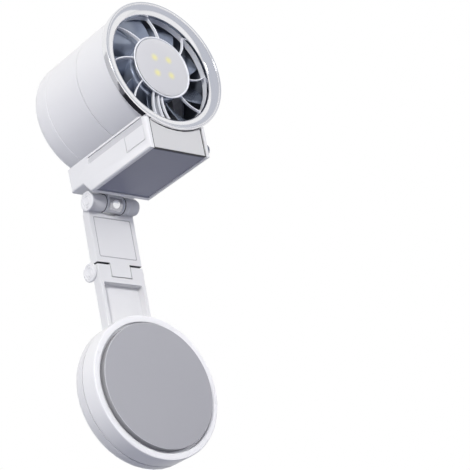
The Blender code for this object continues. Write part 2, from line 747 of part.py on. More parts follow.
def make_hinge_set(name, pin_radius, cap_radii, centre, axis):
    """A pin through a knuckle joint, and the caps that plug the left and right ends of its bore."""
    reach = LINK_HALF - CAP_PLUG_LENGTH - GAP
    settings = {"facing": "right", "finish": "steel", "axis": axis, "steps": PIN_STEPS}
    rod(f"{name}_pin", pin_radius, reach, -reach, centre, **settings)
    seat = LINK_HALF + GAP
    face = seat + CAP_THICKNESS
    settings = {"finish": "white_shell", "axis": axis, "steps": SMALL_STEPS}
    for side, cap_radius in zip(("left", "right"), cap_radii):
        groove = cap_radius - CAP_RING_WIDTH
        profile = [(0, face), (groove - CAP_RING_WIDTH, face), (groove - CAP_RING_DEPTH, face - CAP_RING_DEPTH)]
        profile += [(groove, face), (cap_radius - CAP_RING_DEPTH, face), (cap_radius, face - CAP_RING_DEPTH)]
        profile += [(cap_radius, seat), (pin_radius, seat), (pin_radius, seat - CAP_PLUG_LENGTH)]
        profile += [(0, seat - CAP_PLUG_LENGTH)]
        turned(f"{name}_cap_{side}", profile, centre, facing=side, **settings)


def make_head_hinge_washers():
    inner = LUG_WIDTH / 2 + GAP
    for side in ("left", "right"):
        ring(
            f"head_hinge_washer_{side}",
            HEAD_PIN_RADIUS + GAP,
            HEAD_KNUCKLE_RADIUS + WASHER_PROUD,
            inner + WASHER_THICKNESS,
            inner,
            HEAD_AXIS,
            facing=side,
            finish="steel",
            axis="mid_hinge",
            steps=SMALL_STEPS,
        )


# The barrel, its bezel and its rear intake


def make_barrel():
    front = BEZEL_BACK_AHEAD - GAP
    lap_outer = BARREL_RADIUS - BARREL_WALL / 2 - GAP / 2
    lap_end = BARREL_SEAM_AHEAD - BARREL_LAP
    profile = [(BARREL_INNER_RADIUS, front), (BARREL_RADIUS, front), (BARREL_RADIUS, BARREL_SEAM_AHEAD)]
    profile += [(lap_outer, BARREL_SEAM_AHEAD), (lap_outer, lap_end), (BARREL_INNER_RADIUS, lap_end)]
    turned("barrel_front", profile, FAN_CENTRE, finish="white_shell", axis="head_tilt", closed=True)

    front = BARREL_SEAM_AHEAD - GAP
    step = lap_end - GAP
    outer_round = BARREL_REAR_ROUND
    inner_round = BARREL_REAR_ROUND - INTAKE_LIP
    profile = [(lap_outer + GAP, front), (BARREL_RADIUS, front)]
    centre = (BARREL_RADIUS - outer_round, -REAR_BEHIND + outer_round)
    profile += arc(centre, outer_round, 0, -90, BARREL_ROUND_STEPS)
    profile += [(INTAKE_RADIUS, -REAR_BEHIND), (INTAKE_RADIUS, -REAR_BEHIND + INTAKE_LIP)]
    centre = (BARREL_INNER_RADIUS - inner_round, -REAR_BEHIND + INTAKE_LIP + inner_round)
    profile += arc(centre, inner_round, -90, 0)
    profile += [(BARREL_INNER_RADIUS, step), (lap_outer + GAP, step)]
    turned("barrel_rear", profile, FAN_CENTRE, finish="white_shell", axis="head_tilt", closed=True)


def make_bezel():
    back = BEZEL_BACK_AHEAD
    mouth = BEZEL_RADIUS - BEZEL_LIP_WIDTH
    spigot_outer = BARREL_INNER_RADIUS - GAP
    spigot_inner = OPENING_RADIUS + GRILLE_RING_WIDTH + GAP
    opening = LIP_AHEAD - OPENING_DEPTH
    sheet = opening - BEZEL_SHEET
    depth = OPENING_DEPTH - BEZEL_LIP_ROUND
    span = mouth - OPENING_RADIUS
    funnel = []
    for i in range(FUNNEL_STEPS + 1):
        angle = math.radians(90 * i / FUNNEL_STEPS)
        radius = OPENING_RADIUS + span * (1 - math.cos(angle))
        funnel.append((radius, opening + depth * math.sin(angle)))
    round_in = BEZEL_LIP_ROUND
    profile = funnel
    profile += arc((BEZEL_RADIUS - round_in, LIP_AHEAD - round_in), round_in, 90, 0)
    profile += [(BEZEL_RADIUS, back), (spigot_outer, back), (spigot_outer, back - BEZEL_SPIGOT)]
    profile += [(spigot_inner, back - BEZEL_SPIGOT), (spigot_inner, sheet), (OPENING_RADIUS, sheet)]
    turned("front_bezel", profile, FAN_CENTRE, finish="chrome", axis="head_tilt", closed=True)


def make_rear_grille():
    flange_radius = INTAKE_RADIUS + REAR_GRILLE_FLANGE
    plug_radius = INTAKE_RADIUS - GAP
    seat = -REAR_BEHIND + INTAKE_LIP + GAP
    front = seat + REAR_GRILLE_FLANGE_THICKNESS
    back = -REAR_BEHIND + REAR_GRILLE_RECESS
    profile = [(0, front), (flange_radius, front), (flange_radius, seat), (plug_radius, seat)]
    profile += [(plug_radius, back), (0, back)]
    plate = turned("rear_grille", profile, FAN_CENTRE, finish="white_shell", axis="head_tilt", steps=MIDDLE_STEPS)
    pitch = (plug_radius - REAR_SLOT_HUB_RADIUS) / len(REAR_SLOT_CORNERS)
    solids = []
    for row, corners in enumerate(REAR_SLOT_CORNERS):
        inner = REAR_SLOT_HUB_RADIUS + pitch * row
        outer = inner + pitch - REAR_SLOT_RIB
        middle = (inner + outer) / 2
        span = 2 * math.pi / REAR_SLOTS_PER_TURN - REAR_SLOT_RIB / middle
        for k in range(REAR_SLOTS_PER_TURN):
            start = 2 * math.pi * k / REAR_SLOTS_PER_TURN + REAR_SLOT_PHASE + row * span / 2
            sections = []
            for ahead in (front + OVERRUN, back - OVERRUN):
                angles = [start + span * i / (corners - 1) for i in range(corners)]
                section = [in_fan(outer, angle, ahead) for angle in angles]
                section += [in_fan(inner, angle, ahead) for angle in reversed(angles)]
                sections.append(section)
            solids.append(sections)
    cut(plate, lofts("rear_slot_cutters", solids))
    merge_flats(plate)


# The front grille, the lamp and its lens


def hub_radius(depth):
    """The outer radius of the tapered hub cup at a depth behind the bezel's lip."""
    share = (depth - HUB_FRONT_DEPTH) / (HUB_BACK_DEPTH - HUB_FRONT_DEPTH)
    return HUB_RADIUS + (HUB_BACK_RADIUS - HUB_RADIUS) * share


def spoke_sections(phase, spread=0, set_back=0, thickness=SPOKE_DEPTH):
    """Sections of one swirled spoke, or of a web spread on its far side, from the hub to the ring."""
    outer = OPENING_RADIUS + GRILLE_RING_WIDTH / 2
    hub_depth = SPOKE_HUB_DEPTH + set_back
    ring_depth = OPENING_DEPTH + BEZEL_SHEET + GAP + SPOKE_SET + set_back
    sections = []
    for i in range(SPOKE_STATIONS):
        share = i / (SPOKE_STATIONS - 1)
        angle = phase + SPOKE_SWEEP * share + SPOKE_BOW * math.sin(math.pi * share)
        corners = []
        for behind in (0, thickness):
            inner = hub_radius(hub_depth + behind) - HUB_WALL / 2
            radius = inner + (outer - inner) * share
            ahead = LIP_AHEAD - hub_depth - (ring_depth - hub_depth) * share - behind
            turn = SPOKE_THICKNESS / 2 / radius
            low, high = (angle - spread, angle) if spread else (angle - turn, angle + turn)
            corners += [in_fan(radius, low, ahead), in_fan(radius, high, ahead)]
        sections.append([corners[0], corners[1], corners[3], corners[2]])
    return sections


def make_front_grille():
    hub_front = LIP_AHEAD - HUB_FRONT_DEPTH
    floor = LIP_AHEAD - HUB_FLOOR_DEPTH
    profile = [(0, floor), (hub_radius(HUB_FLOOR_DEPTH) - HUB_WALL, floor), (HUB_RADIUS - HUB_WALL, hub_front)]
    profile += [(HUB_RADIUS, hub_front), (HUB_BACK_RADIUS, HUB_BACK_AHEAD), (0, HUB_BACK_AHEAD)]
    grille = turned("front_grille", profile, FAN_CENTRE, finish="grille_white", axis="head_tilt", steps=MIDDLE_STEPS)
    ring_front = LIP_AHEAD - OPENING_DEPTH - BEZEL_SHEET - GAP
    outer = ring(
        "grille_ring_guide",
        OPENING_RADIUS,
        OPENING_RADIUS + GRILLE_RING_WIDTH,
        ring_front,
        ring_front - GRILLE_RING_DEPTH,
        FAN_CENTRE,
    )
    phases = [SPOKE_PHASE + 2 * math.pi * k / SPOKE_COUNT for k in range(SPOKE_COUNT)]
    channel = phases[CHANNEL_SPOKE]
    phases += [channel - CHANNEL_NEAR, channel - CHANNEL_FAR]
    join(grille, lofts("grille_spoke_guides", [spoke_sections(phase) for phase in phases]))
    web_back = SPOKE_DEPTH - CHANNEL_WEB - SPOKE_SET
    web = spoke_sections(channel - CHANNEL_NEAR, CHANNEL_FAR - CHANNEL_NEAR, web_back, CHANNEL_WEB)
    join(grille, lofts("channel_web_guide", [web]))
    join(grille, outer)
    merge_flats(grille)


def make_lamp():
    board_radius = hub_radius(HUB_FLOOR_DEPTH - GAP) - HUB_WALL - GAP
    board_front = LAMP_BOARD_BACK_AHEAD + LAMP_BOARD_THICKNESS
    settings = {"finish": "board", "axis": "head_tilt", "steps": MIDDLE_STEPS}
    rod("lamp_board", board_radius, board_front, LAMP_BOARD_BACK_AHEAD, FAN_CENTRE, **settings)
    number = 0
    for z in (LED_PITCH / 2, -LED_PITCH / 2):
        for x in (-LED_PITCH / 2, LED_PITCH / 2):
            number += 1
            centre = FAN_CENTRE + Vector((x, -LED_BACK_AHEAD, z))
            low = centre + Vector((-LED_SIZE / 2, -LED_HEIGHT, -LED_SIZE / 2))
            high = centre + Vector((LED_SIZE / 2, 0, LED_SIZE / 2))
            block(f"led_{number}", low, high, "led", "head_tilt")
    rim = LIP_AHEAD - HUB_FRONT_DEPTH
    back = rim - LENS_EDGE
    window = rim - LENS_WINDOW
    radius = HUB_RADIUS - HUB_WALL - GAP
    back_radius = hub_radius(HUB_FRONT_DEPTH + LENS_EDGE) - HUB_WALL - GAP
    edge = radius - LENS_ROUND
    profile = []
    for i in range(CORNER_STEPS + 1):
        share = i / CORNER_STEPS
        profile.append((edge * share, rim + LENS_CROWN * (1 - share * share)))
    profile += [(radius, rim - LENS_ROUND), (back_radius, back), (LENS_WINDOW_RADIUS, back)]
    profile += [(LENS_WINDOW_RADIUS, window), (0, window)]
    turned("lamp_lens", profile, FAN_CENTRE, finish="lens", axis="head_tilt", steps=MIDDLE_STEPS)


# The impeller and its motor


def blade_sections(phase):
    """Sections of one twisted blade from inside the hub to the tip, as closed cambered strips."""
    inner = IMPELLER_HUB_RADIUS - BLADE_ROOT_SINK
    front = IMPELLER_FRONT_AHEAD - BLADE_FRONT_SET
    sections = []
    for i in range(BLADE_STATIONS):
        share = i / (BLADE_STATIONS - 1)
        radius = inner + (IMPELLER_RADIUS - inner) * share
        chord = BLADE_ROOT_CHORD + (BLADE_TIP_CHORD - BLADE_ROOT_CHORD) * share
        pitch = BLADE_ROOT_PITCH + (BLADE_TIP_PITCH - BLADE_ROOT_PITCH) * share
        thickness = BLADE_THICKNESS + (BLADE_TIP_THICKNESS - BLADE_THICKNESS) * share
        upper, lower = [], []
        for k in range(BLADE_POINTS):
            part = k / (BLADE_POINTS - 1)
            bow = BLADE_CAMBER_SHARE * chord * math.sin(math.pi * part)
            half = thickness / 2 * (BLADE_EDGE_SHARE + (1 - BLADE_EDGE_SHARE) * math.sin(math.pi * part))
            for side, points in ((1, upper), (-1, lower)):
                across = bow + side * half
                run = chord * part
                ahead = front - run * math.sin(pitch) + across * math.cos(pitch)
                round_way = run * math.cos(pitch) + across * math.sin(pitch)
                angle = phase + BLADE_SWEEP * share + round_way / radius
                points.append(in_fan(radius, angle, ahead))
        sections.append(upper + lower[::-1])
    return sections


def make_impeller():
    front, back = IMPELLER_FRONT_AHEAD, IMPELLER_BACK_AHEAD
    inner = IMPELLER_HUB_RADIUS - IMPELLER_WALL
    under = front - IMPELLER_WALL
    boss_back = under - IMPELLER_BOSS_LENGTH
    profile = [(BOSS_BORE_RADIUS, front)]
    profile += arc(
        (IMPELLER_HUB_RADIUS - IMPELLER_HUB_ROUND, front - IMPELLER_HUB_ROUND), IMPELLER_HUB_ROUND, 90, 0
    )
    profile += [(IMPELLER_HUB_RADIUS, back), (inner, back), (inner, under)]
    profile += [(IMPELLER_BOSS_RADIUS, under), (IMPELLER_BOSS_RADIUS, boss_back), (BOSS_BORE_RADIUS, boss_back)]
    settings = {"finish": "impeller_blue", "axis": "impeller_spin", "steps": MIDDLE_STEPS}
    impeller = turned("impeller", profile, FAN_CENTRE, closed=True, **settings)
    blades = [blade_sections(2 * math.pi * k / BLADE_COUNT) for k in range(BLADE_COUNT)]
    join(impeller, lofts("impeller_blade_guides", blades))
    merge_flats(impeller)

    magnet_outer = inner - GAP
    magnet_front = under - GAP
    ring(
        "rotor_magnet",
        magnet_outer - ROTOR_MAGNET_WALL,
        magnet_outer,
        magnet_front,
        magnet_front - ROTOR_MAGNET_LENGTH,
        FAN_CENTRE,
        finish="magnet",
        axis="impeller_spin",
        steps=MIDDLE_STEPS,
    )
    shaft_back = MOUNT_FRONT_AHEAD + GAP
    settings = {"finish": "steel", "axis": "impeller_spin", "steps": SMALL_STEPS}
    rod("motor_shaft", SHAFT_RADIUS, front, shaft_back, FAN_CENTRE, **settings)


def make_motor():
    front = TUBE_FRONT_AHEAD
    plate_back = MOUNT_FRONT_AHEAD - MOUNT_PLATE
    profile = [(0, MOUNT_FRONT_AHEAD), (TUBE_INNER_RADIUS, MOUNT_FRONT_AHEAD), (TUBE_INNER_RADIUS, front)]
    profile += [(TUBE_RADIUS, front), (TUBE_RADIUS, MOUNT_FRONT_AHEAD)]
    profile += [(IMPELLER_HUB_RADIUS, MOUNT_FRONT_AHEAD), (IMPELLER_HUB_RADIUS, plate_back), (0, plate_back)]
    mount = turned("motor_mount", profile, FAN_CENTRE, finish="grille_white", axis="head_tilt", steps=MIDDLE_STEPS)
    ring_outer = BARREL_INNER_RADIUS - GAP
    ring_back = MOUNT_FRONT_AHEAD - VANE_DEPTH
    outer = ring(
        "mount_ring_guide", ring_outer - MOUNT_RING_WALL, ring_outer, MOUNT_FRONT_AHEAD, ring_back, FAN_CENTRE
    )
    vanes = [vane_sections(2 * math.pi * k / VANE_COUNT, ring_outer) for k in range(VANE_COUNT)]
    join(mount, lofts("motor_vane_guides", vanes))
    join(mount, outer)
    merge_flats(mount)

    for number, bearing_front in enumerate((front - GAP, MOUNT_FRONT_AHEAD + GAP + BEARING_LENGTH), 1):
        ring(
            f"motor_bearing_{number}",
            BOSS_BORE_RADIUS,
            BEARING_RADIUS,
            bearing_front,
            bearing_front - BEARING_LENGTH,
            FAN_CENTRE,
            finish="copper",
            axis="head_tilt",
            steps=SMALL_STEPS,
        )
    make_stator()


def vane_sections(phase, ring_outer):
    """Sections of one leaning stator vane, from the motor plate to the outer ring."""
    inner = IMPELLER_HUB_RADIUS - BLADE_ROOT_SINK
    outer = ring_outer - MOUNT_RING_WALL / 2
    front = MOUNT_FRONT_AHEAD - GAP
    back = MOUNT_FRONT_AHEAD - VANE_DEPTH + GAP
    sections = []
    for i in range(VANE_STATIONS):
        share = i / (VANE_STATIONS - 1)
        radius = inner + (outer - inner) * share
        angle = phase + VANE_LEAN * share
        turn = VANE_THICKNESS / 2 / radius
        sections.append(
            [
                in_fan(radius, angle - turn, front),
                in_fan(radius, angle + turn, front),
                in_fan(radius, angle + turn, back),
                in_fan(radius, angle - turn, back),
            ]
        )
    return sections


def make_stator():
    """The motor's stator: a core with T-shaped poles, pushed on the bearing tube."""
    magnet_inner = IMPELLER_HUB_RADIUS - IMPELLER_WALL - GAP - ROTOR_MAGNET_WALL
    tip = magnet_inner - STATOR_AIR_GAP
    core = tip * STATOR_CORE_SHARE
    shoe = tip * STATOR_SHOE_SHARE
    half_pitch = math.pi / STATOR_POLES
    steps = [(core, STATOR_NECK_SHARE), (shoe, STATOR_NECK_SHARE)]
    steps += [(shoe, STATOR_TIP_SHARE), (tip, STATOR_TIP_SHARE)]
    front = MOUNT_FRONT_AHEAD + GAP + STATOR_LENGTH
    back = MOUNT_FRONT_AHEAD + GAP
    outline = []
    for k in range(STATOR_POLES):
        middle = 2 * half_pitch * k
        outline += [in_fan(radius, middle - half_pitch * share, front) for radius, share in steps]
        outline += [in_fan(radius, middle + half_pitch * share, front) for radius, share in reversed(steps)]
    bm = bmesh.new()
    face = bm.faces.new([bm.verts.new(point) for point in outline])
    made = bmesh.ops.extrude_face_region(bm, geom=[face])
    moved = [g for g in made["geom"] if isinstance(g, bmesh.types.BMVert)]
    bmesh.ops.translate(bm, vec=(0, front - back, 0), verts=moved)
    stator = add_bmesh("motor_stator", bm, "copper", "head_tilt")
    bore = rod(
        "stator_bore_cutter", TUBE_RADIUS + GAP, front + OVERRUN, back - OVERRUN, FAN_CENTRE, steps=SMALL_STEPS
    )
    cut(stator, bore)


# The battery box


def make_barrel_space():
    """The room that the box, its front plate and its roof leave for the barrel and the bezel."""
    step = BEZEL_BACK_AHEAD - GAP
    profile = [(0, LIP_AHEAD + OVERRUN), (BEZEL_RADIUS + GAP, LIP_AHEAD + OVERRUN), (BEZEL_RADIUS + GAP, step)]
    profile += [(BARREL_RADIUS + GAP, step), (BARREL_RADIUS + GAP, -REAR_BEHIND - OVERRUN)]
    profile += [(0, -REAR_BEHIND - OVERRUN)]
    return turned("barrel_space_cutter", profile, FAN_CENTRE)


def box_corner(x, ahead, rise):
    return HEAD_AXIS + Vector((x, -ahead, rise))


def make_box_shell(barrel_space):
    top = FAN_AXIS_RISE / 2
    marks = [
        (BOX_FRONT_AHEAD, BOX_BASE_RISE),
        (NOTCH_AHEAD, BOX_BASE_RISE),
        (NOTCH_TOP_AHEAD, NOTCH_RISE),
        (-REAR_BEHIND + BOX_REAR_DRAFT, NOTCH_RISE),
        (-REAR_BEHIND, top),
        (BOX_FRONT_AHEAD, top),
    ]
    outline = [(HEAD_AXIS.y - ahead, HEAD_AXIS.z + rise) for ahead, rise in marks]
    bm = prism_mesh(outline, -BOX_HALF, BOX_HALF)
    upper = HEAD_AXIS.z + top + WELD
    round_edges(bm, lambda a, b: abs(a.x - b.x) < WELD and max(a.z, b.z) < upper, BOX_ROUND)
    shell = add_bmesh("box_shell", bm, "white_shell", "head_tilt")
    cut(shell, barrel_space)

    low = BOX_BASE_RISE - OVERRUN
    opening_back = BEZEL_BACK_AHEAD - GAP - GAP
    roof_guide = rod(
        "box_roof_guide",
        BARREL_RADIUS + GAP + BOX_ROOF,
        BOX_FRONT_AHEAD + OVERRUN,
        0,
        FAN_CENTRE,
    )
    cavity = block(
        "box_cavity_cutter",
        box_corner(-BOX_INNER_HALF, opening_back + GAP, low),
        box_corner(BOX_INNER_HALF, BOX_REAR_BLOCK_AHEAD, top + OVERRUN),
    )
    cut(cavity, roof_guide)
    cut(shell, cavity)
    opening = block(
        "box_front_cutter",
        box_corner(-BOX_INNER_HALF, BOX_FRONT_AHEAD + OVERRUN, low),
        box_corner(BOX_INNER_HALF, opening_back, top + OVERRUN),
    )
    cut(shell, opening)

    neck_top = NOTCH_RISE + OVERRUN
    outline = arc((HEAD_AXIS.y, HEAD_AXIS.z), HEAD_KNUCKLE_RADIUS, 0, 360, SMALL_STEPS)[:-1]
    outline += [(HEAD_AXIS.y + side * LUG_NECK / 2, HEAD_AXIS.z + neck_top) for side in (-1, 1)]
    join(shell, hull("hinge_lug_guide", outline, -LUG_WIDTH / 2, LUG_WIDTH / 2))
    reach = LUG_WIDTH / 2 + OVERRUN
    bore = rod(
        "hinge_lug_bore_cutter", HEAD_PIN_RADIUS + GAP, reach, -reach, HEAD_AXIS, facing="right", steps=SMALL_STEPS
    )
    cut(shell, bore)
    cut_tension_hole(shell)
    cut_button_hole(shell)
    cut_inlet_window(shell)
    cut_side_bands(shell)
    merge_flats(shell)


def cut_side_bands(shell):
    """The leaning band and the shadow groove that run along both side walls, under the barrel."""
    outer = BOX_HALF + OVERRUN
    groove_top = BAND_HIGH_RISE + BAND_GROOVE
    marks = [
        (outer, BAND_LOW_RISE),
        (BOX_HALF - BAND_LOW_SINK, BAND_LOW_RISE),
        (BOX_HALF - BAND_HIGH_SINK, BAND_HIGH_RISE),
        (BOX_HALF - BAND_GROOVE_SINK, BAND_HIGH_RISE),
        (BOX_HALF - BAND_GROOVE_SINK, groove_top),
        (outer, groove_top),
    ]
    ends = (BOX_FRONT_AHEAD - BAND_FRONT_SET, BOX_REAR_BLOCK_AHEAD)
    bands = [[[box_corner(side * x, ahead, rise) for x, rise in marks] for ahead in ends] for side in (-1, 1)]
    cut(shell, lofts("side_band_cutters", bands))


def make_box_panels(barrel_space):
    side = BOX_INNER_HALF - GAP
    base = BOX_BASE_RISE + PANEL_SET
    front = BOX_FRONT_AHEAD - FRONT_PLATE_SET
    plate = block(
        "front_plate",
        box_corner(-side, front, base),
        box_corner(side, front - FRONT_PLATE_THICKNESS, FAN_AXIS_RISE / 2),
        "plate_grey",
        "head_tilt",
    )
    cut(plate, barrel_space)
    panel_front = front - FRONT_PLATE_THICKNESS - GAP
    panel = block(
        "bottom_panel",
        box_corner(-side, panel_front, base),
        box_corner(side, BOX_REAR_BLOCK_AHEAD + GAP, PANEL_TOP_RISE),
        "slate",
        "head_tilt",
    )
    board_front = panel_front - GAP
    for number, ahead in enumerate((board_front - POST_INSET, board_front - BOARD_LENGTH + POST_INSET), 1):
        centre = HEAD_AXIS + Vector((0, -ahead, 0))
        post = rod(
            f"panel_post_{number}_guide",
            POST_RADIUS,
            BOARD_RISE - GAP,
            PANEL_TOP_RISE - PANEL_THICKNESS / 2,
            centre,
            facing=(0, 0, 0),
            steps=SMALL_STEPS,
        )
        join(panel, post)
    return board_front


def make_electronics(board_front):
    low = PANEL_TOP_RISE + GAP
    battery_rear = BOX_REAR_BLOCK_AHEAD + BATTERY_REAR_GAP
    block(
        "battery_cell",
        box_corner(-BATTERY_HALF, battery_rear + BATTERY_LENGTH, low),
        box_corner(BATTERY_HALF, battery_rear, low + BATTERY_HEIGHT),
        "battery",
        "head_tilt",
        rounded=1,
        radius=BATTERY_ROUND,
    )
    switch_left = SWITCH_FACE - SWITCH_DEPTH
    board_left = -(BOX_INNER_HALF - GAP)
    board_top = BOARD_RISE + BOARD_THICKNESS
    block(
        "control_board",
        box_corner(board_left, board_front, BOARD_RISE),
        box_corner(switch_left - GAP, board_front - BOARD_LENGTH, board_top),
        "board",
        "head_tilt",
    )
    block(
        "power_switch",
        box_corner(switch_left, BUTTON_AHEAD + SWITCH_SIZE / 2, BUTTON_RISE - SWITCH_SIZE / 2),
        box_corner(SWITCH_FACE, BUTTON_AHEAD - SWITCH_SIZE / 2, BUTTON_RISE + SWITCH_SIZE / 2),
        "slate",
        "head_tilt",
    )
    inlet_low = board_top + GAP
    inlet = block(
        "charging_inlet",
        box_corner(board_left, COVER_DOOR_AHEAD + INLET_WIDTH / 2, inlet_low),
        box_corner(board_left + INLET_LENGTH, COVER_DOOR_AHEAD - INLET_WIDTH / 2, inlet_low + INLET_HEIGHT),
        "steel",
        "head_tilt",
    )
    mouth = block(
        "inlet_mouth_cutter",
        box_corner(board_left - OVERRUN, COVER_DOOR_AHEAD + INLET_WIDTH / 2 - INLET_WALL, inlet_low + INLET_WALL),
        box_corner(
            board_left + INLET_MOUTH_DEPTH,
            COVER_DOOR_AHEAD - INLET_WIDTH / 2 + INLET_WALL,
            inlet_low + INLET_HEIGHT - INLET_WALL,
        ),
    )
    cut(inlet, mouth)
    middle = inlet_low + INLET_HEIGHT / 2
    tongue = block(
        "inlet_tongue_guide",
        box_corner(board_left + INLET_WALL, COVER_DOOR_AHEAD + INLET_TONGUE_WIDTH / 2, middle - INLET_TONGUE / 2),
        box_corner(
            board_left + INLET_MOUTH_DEPTH + INLET_WALL,
            COVER_DOOR_AHEAD - INLET_TONGUE_WIDTH / 2,
            middle + INLET_TONGUE / 2,
        ),
    )
    join(inlet, tongue)


def cut_inlet_window(shell):
    recess = block(
        "inlet_cover_recess_cutter",
        box_corner(-BOX_HALF - OVERRUN, COVER_DOOR_AHEAD + COVER_DOOR_LENGTH / 2 + GAP, COVER_DOOR_RISE - GAP),
        box_corner(
            -BOX_HALF + COVER_DOOR_THICKNESS + GAP,
            COVER_DOOR_AHEAD - COVER_DOOR_LENGTH / 2 - GAP,
            COVER_DOOR_RISE + COVER_DOOR_HEIGHT + GAP,
        ),
    )
    cut(shell, recess)
    inlet_low = BOARD_RISE + BOARD_THICKNESS + GAP
    half = INLET_WIDTH / 2 + INLET_WINDOW_GAP
    window = block(
        "inlet_window_cutter",
        box_corner(-BOX_HALF - OVERRUN, COVER_DOOR_AHEAD + half, inlet_low - INLET_WINDOW_GAP),
        box_corner(
            -BOX_INNER_HALF + OVERRUN,
            COVER_DOOR_AHEAD - half,
            inlet_low + INLET_HEIGHT + INLET_WINDOW_GAP,
        ),
    )
    cut(shell, window)


def make_inlet_cover():
    """A thin door, flush with the left wall, whose round lower edge is its hinge."""
    radius = COVER_DOOR_THICKNESS / 2
    outline_top = DOOR_AXIS.z - radius + COVER_DOOR_HEIGHT
    front = DOOR_AXIS.y - COVER_DOOR_LENGTH / 2
    back = DOOR_AXIS.y + COVER_DOOR_LENGTH / 2
    bm = bmesh.new()
    outline = arc((DOOR_AXIS.x, DOOR_AXIS.z), radius, 180, 360, KNUCKLE_STEPS)
    outline += [(DOOR_AXIS.x + radius, outline_top), (DOOR_AXIS.x - radius, outline_top)]
    face = bm.faces.new([bm.verts.new((x, front, z)) for x, z in outline])
    made = bmesh.ops.extrude_face_region(bm, geom=[face])
    moved = [g for g in made["geom"] if isinstance(g, bmesh.types.BMVert)]
    bmesh.ops.translate(bm, vec=(0, back - front, 0), verts=moved)
    add_bmesh("inlet_cover", bm, "white_shell", "inlet_cover_hinge")


def cut_button_hole(shell):
    bore = BUTTON_RADIUS + GAP
    seat = BOX_INNER_HALF + BUTTON_SEAT
    outer = BOX_HALF + OVERRUN
    stem = BUTTON_STEM_RADIUS + GAP
    profile = [(0, outer), (bore, outer), (bore, seat), (stem, seat)]
    profile += [(stem, BOX_INNER_HALF - OVERRUN), (0, BOX_INNER_HALF - OVERRUN)]
    cut(shell, turned("button_hole_cutter", profile, BUTTON_CENTRE, facing="right", steps=SMALL_STEPS))


def make_power_button():
    face = BOX_HALF + BUTTON_PROUD
    seat = BOX_INNER_HALF + BUTTON_SEAT + BUTTON_TRAVEL + GAP
    clip = BOX_INNER_HALF - GAP
    profile = [(0, face)]
    profile += arc((BUTTON_RADIUS - BUTTON_ROUND, face - BUTTON_ROUND), BUTTON_ROUND, 90, 0)
    profile += [(BUTTON_RADIUS, seat), (BUTTON_STEM_RADIUS, seat), (BUTTON_STEM_RADIUS, clip)]
    profile += [(BUTTON_CLIP_RADIUS, clip), (BUTTON_CLIP_RADIUS, clip - BUTTON_CLIP_THICKNESS)]
    profile += [(0, clip - BUTTON_CLIP_THICKNESS)]
    settings = {"finish": "slate", "axis": "power_button_press", "steps": SMALL_STEPS}
    turned("power_button", profile, BUTTON_CENTRE, facing="right", **settings)


def tension_facing():
    return (math.pi / 2 + TENSION_ANGLE, 0, 0)


def cut_tension_hole(shell):
    floor = HEAD_KNUCKLE_RADIUS - TENSION_HEAD_SINK - GAP
    bore, shank = TENSION_HEAD_RADIUS + GAP, TENSION_SHANK_RADIUS + GAP
    outer = HEAD_KNUCKLE_RADIUS + OVERRUN
    profile = [(0, outer), (bore, outer), (bore, floor), (shank, floor), (shank, 0), (0, 0)]
    hole = turned("tension_hole_cutter", profile, HEAD_AXIS, facing=tension_facing(), steps=SMALL_STEPS)
    cut(shell, hole)


def make_tension_screw():
    """The pan-head screw in the hinge lug that presses on the pin and sets the tilt friction."""
    seat = HEAD_KNUCKLE_RADIUS - TENSION_HEAD_SINK
    face = seat + TENSION_HEAD_HEIGHT
    tip = HEAD_PIN_RADIUS + GAP
    profile = [(0, face)]
    centre = (TENSION_HEAD_RADIUS - TENSION_HEAD_ROUND, face - TENSION_HEAD_ROUND)
    profile += arc(centre, TENSION_HEAD_ROUND, 90, 0)
    profile += [(TENSION_HEAD_RADIUS, seat), (TENSION_SHANK_RADIUS, seat), (TENSION_SHANK_RADIUS, tip), (0, tip)]
    settings = {"finish": "chrome", "axis": "head_tilt", "steps": SMALL_STEPS}
    turned("tension_screw", profile, HEAD_AXIS, facing=tension_facing(), **settings)


def main():
    clear_scene()
    make_groups()
    make_axis("disc_hinge", DISC_AXIS)
    make_axis("mid_hinge", MID_AXIS)
    make_axis("head_tilt", HEAD_AXIS)
    make_axis("impeller_spin", FAN_CENTRE)
    make_axis("power_button_press", BUTTON_CENTRE)
    make_axis("inlet_cover_hinge", DOOR_AXIS)

    make_magnetic_pad()
    make_disc_shells()
    make_disc_magnets()
    make_disc_hinge_pin()

    make_lower_link()
    mid_caps = (MID_CAP_RADIUS, MID_CAP_RADIUS)
    make_hinge_set("mid_hinge", MID_PIN_RADIUS, mid_caps, MID_AXIS, "disc_hinge")
    make_upper_link()
    head_caps = (HEAD_LEFT_CAP_RADIUS, HEAD_RIGHT_CAP_RADIUS)
    make_hinge_set("head_hinge", HEAD_PIN_RADIUS, head_caps, HEAD_AXIS, "mid_hinge")
    make_head_hinge_washers()

    make_barrel()
    make_bezel()
    make_rear_grille()
    make_front_grille()
    make_lamp()
    make_impeller()
    make_motor()

    barrel_space = make_barrel_space()
    make_box_shell(barrel_space)
    board_front = make_box_panels(barrel_space)
    make_electronics(board_front)
    make_power_button()
    make_inlet_cover()
    make_tension_screw()


main()
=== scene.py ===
# %% [markdown]
# # A folding turbo fan with a magnetic pad
# A small barrel-shaped fan sits on a two-link arm that folds, and the arm ends in a round disc
# with a magnetic rubber pad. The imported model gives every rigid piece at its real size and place.
# This lesson dresses that model: it remakes the pieces that show with rounder edges and finer
# curves, and gives each one the finish of the real material. Lengths are in metres, and MM turns
# millimetres into them. A HAIR is the small margin used wherever faces are picked by their place.

import json
import math

import bmesh
import bpy
from mathutils import Matrix, Vector


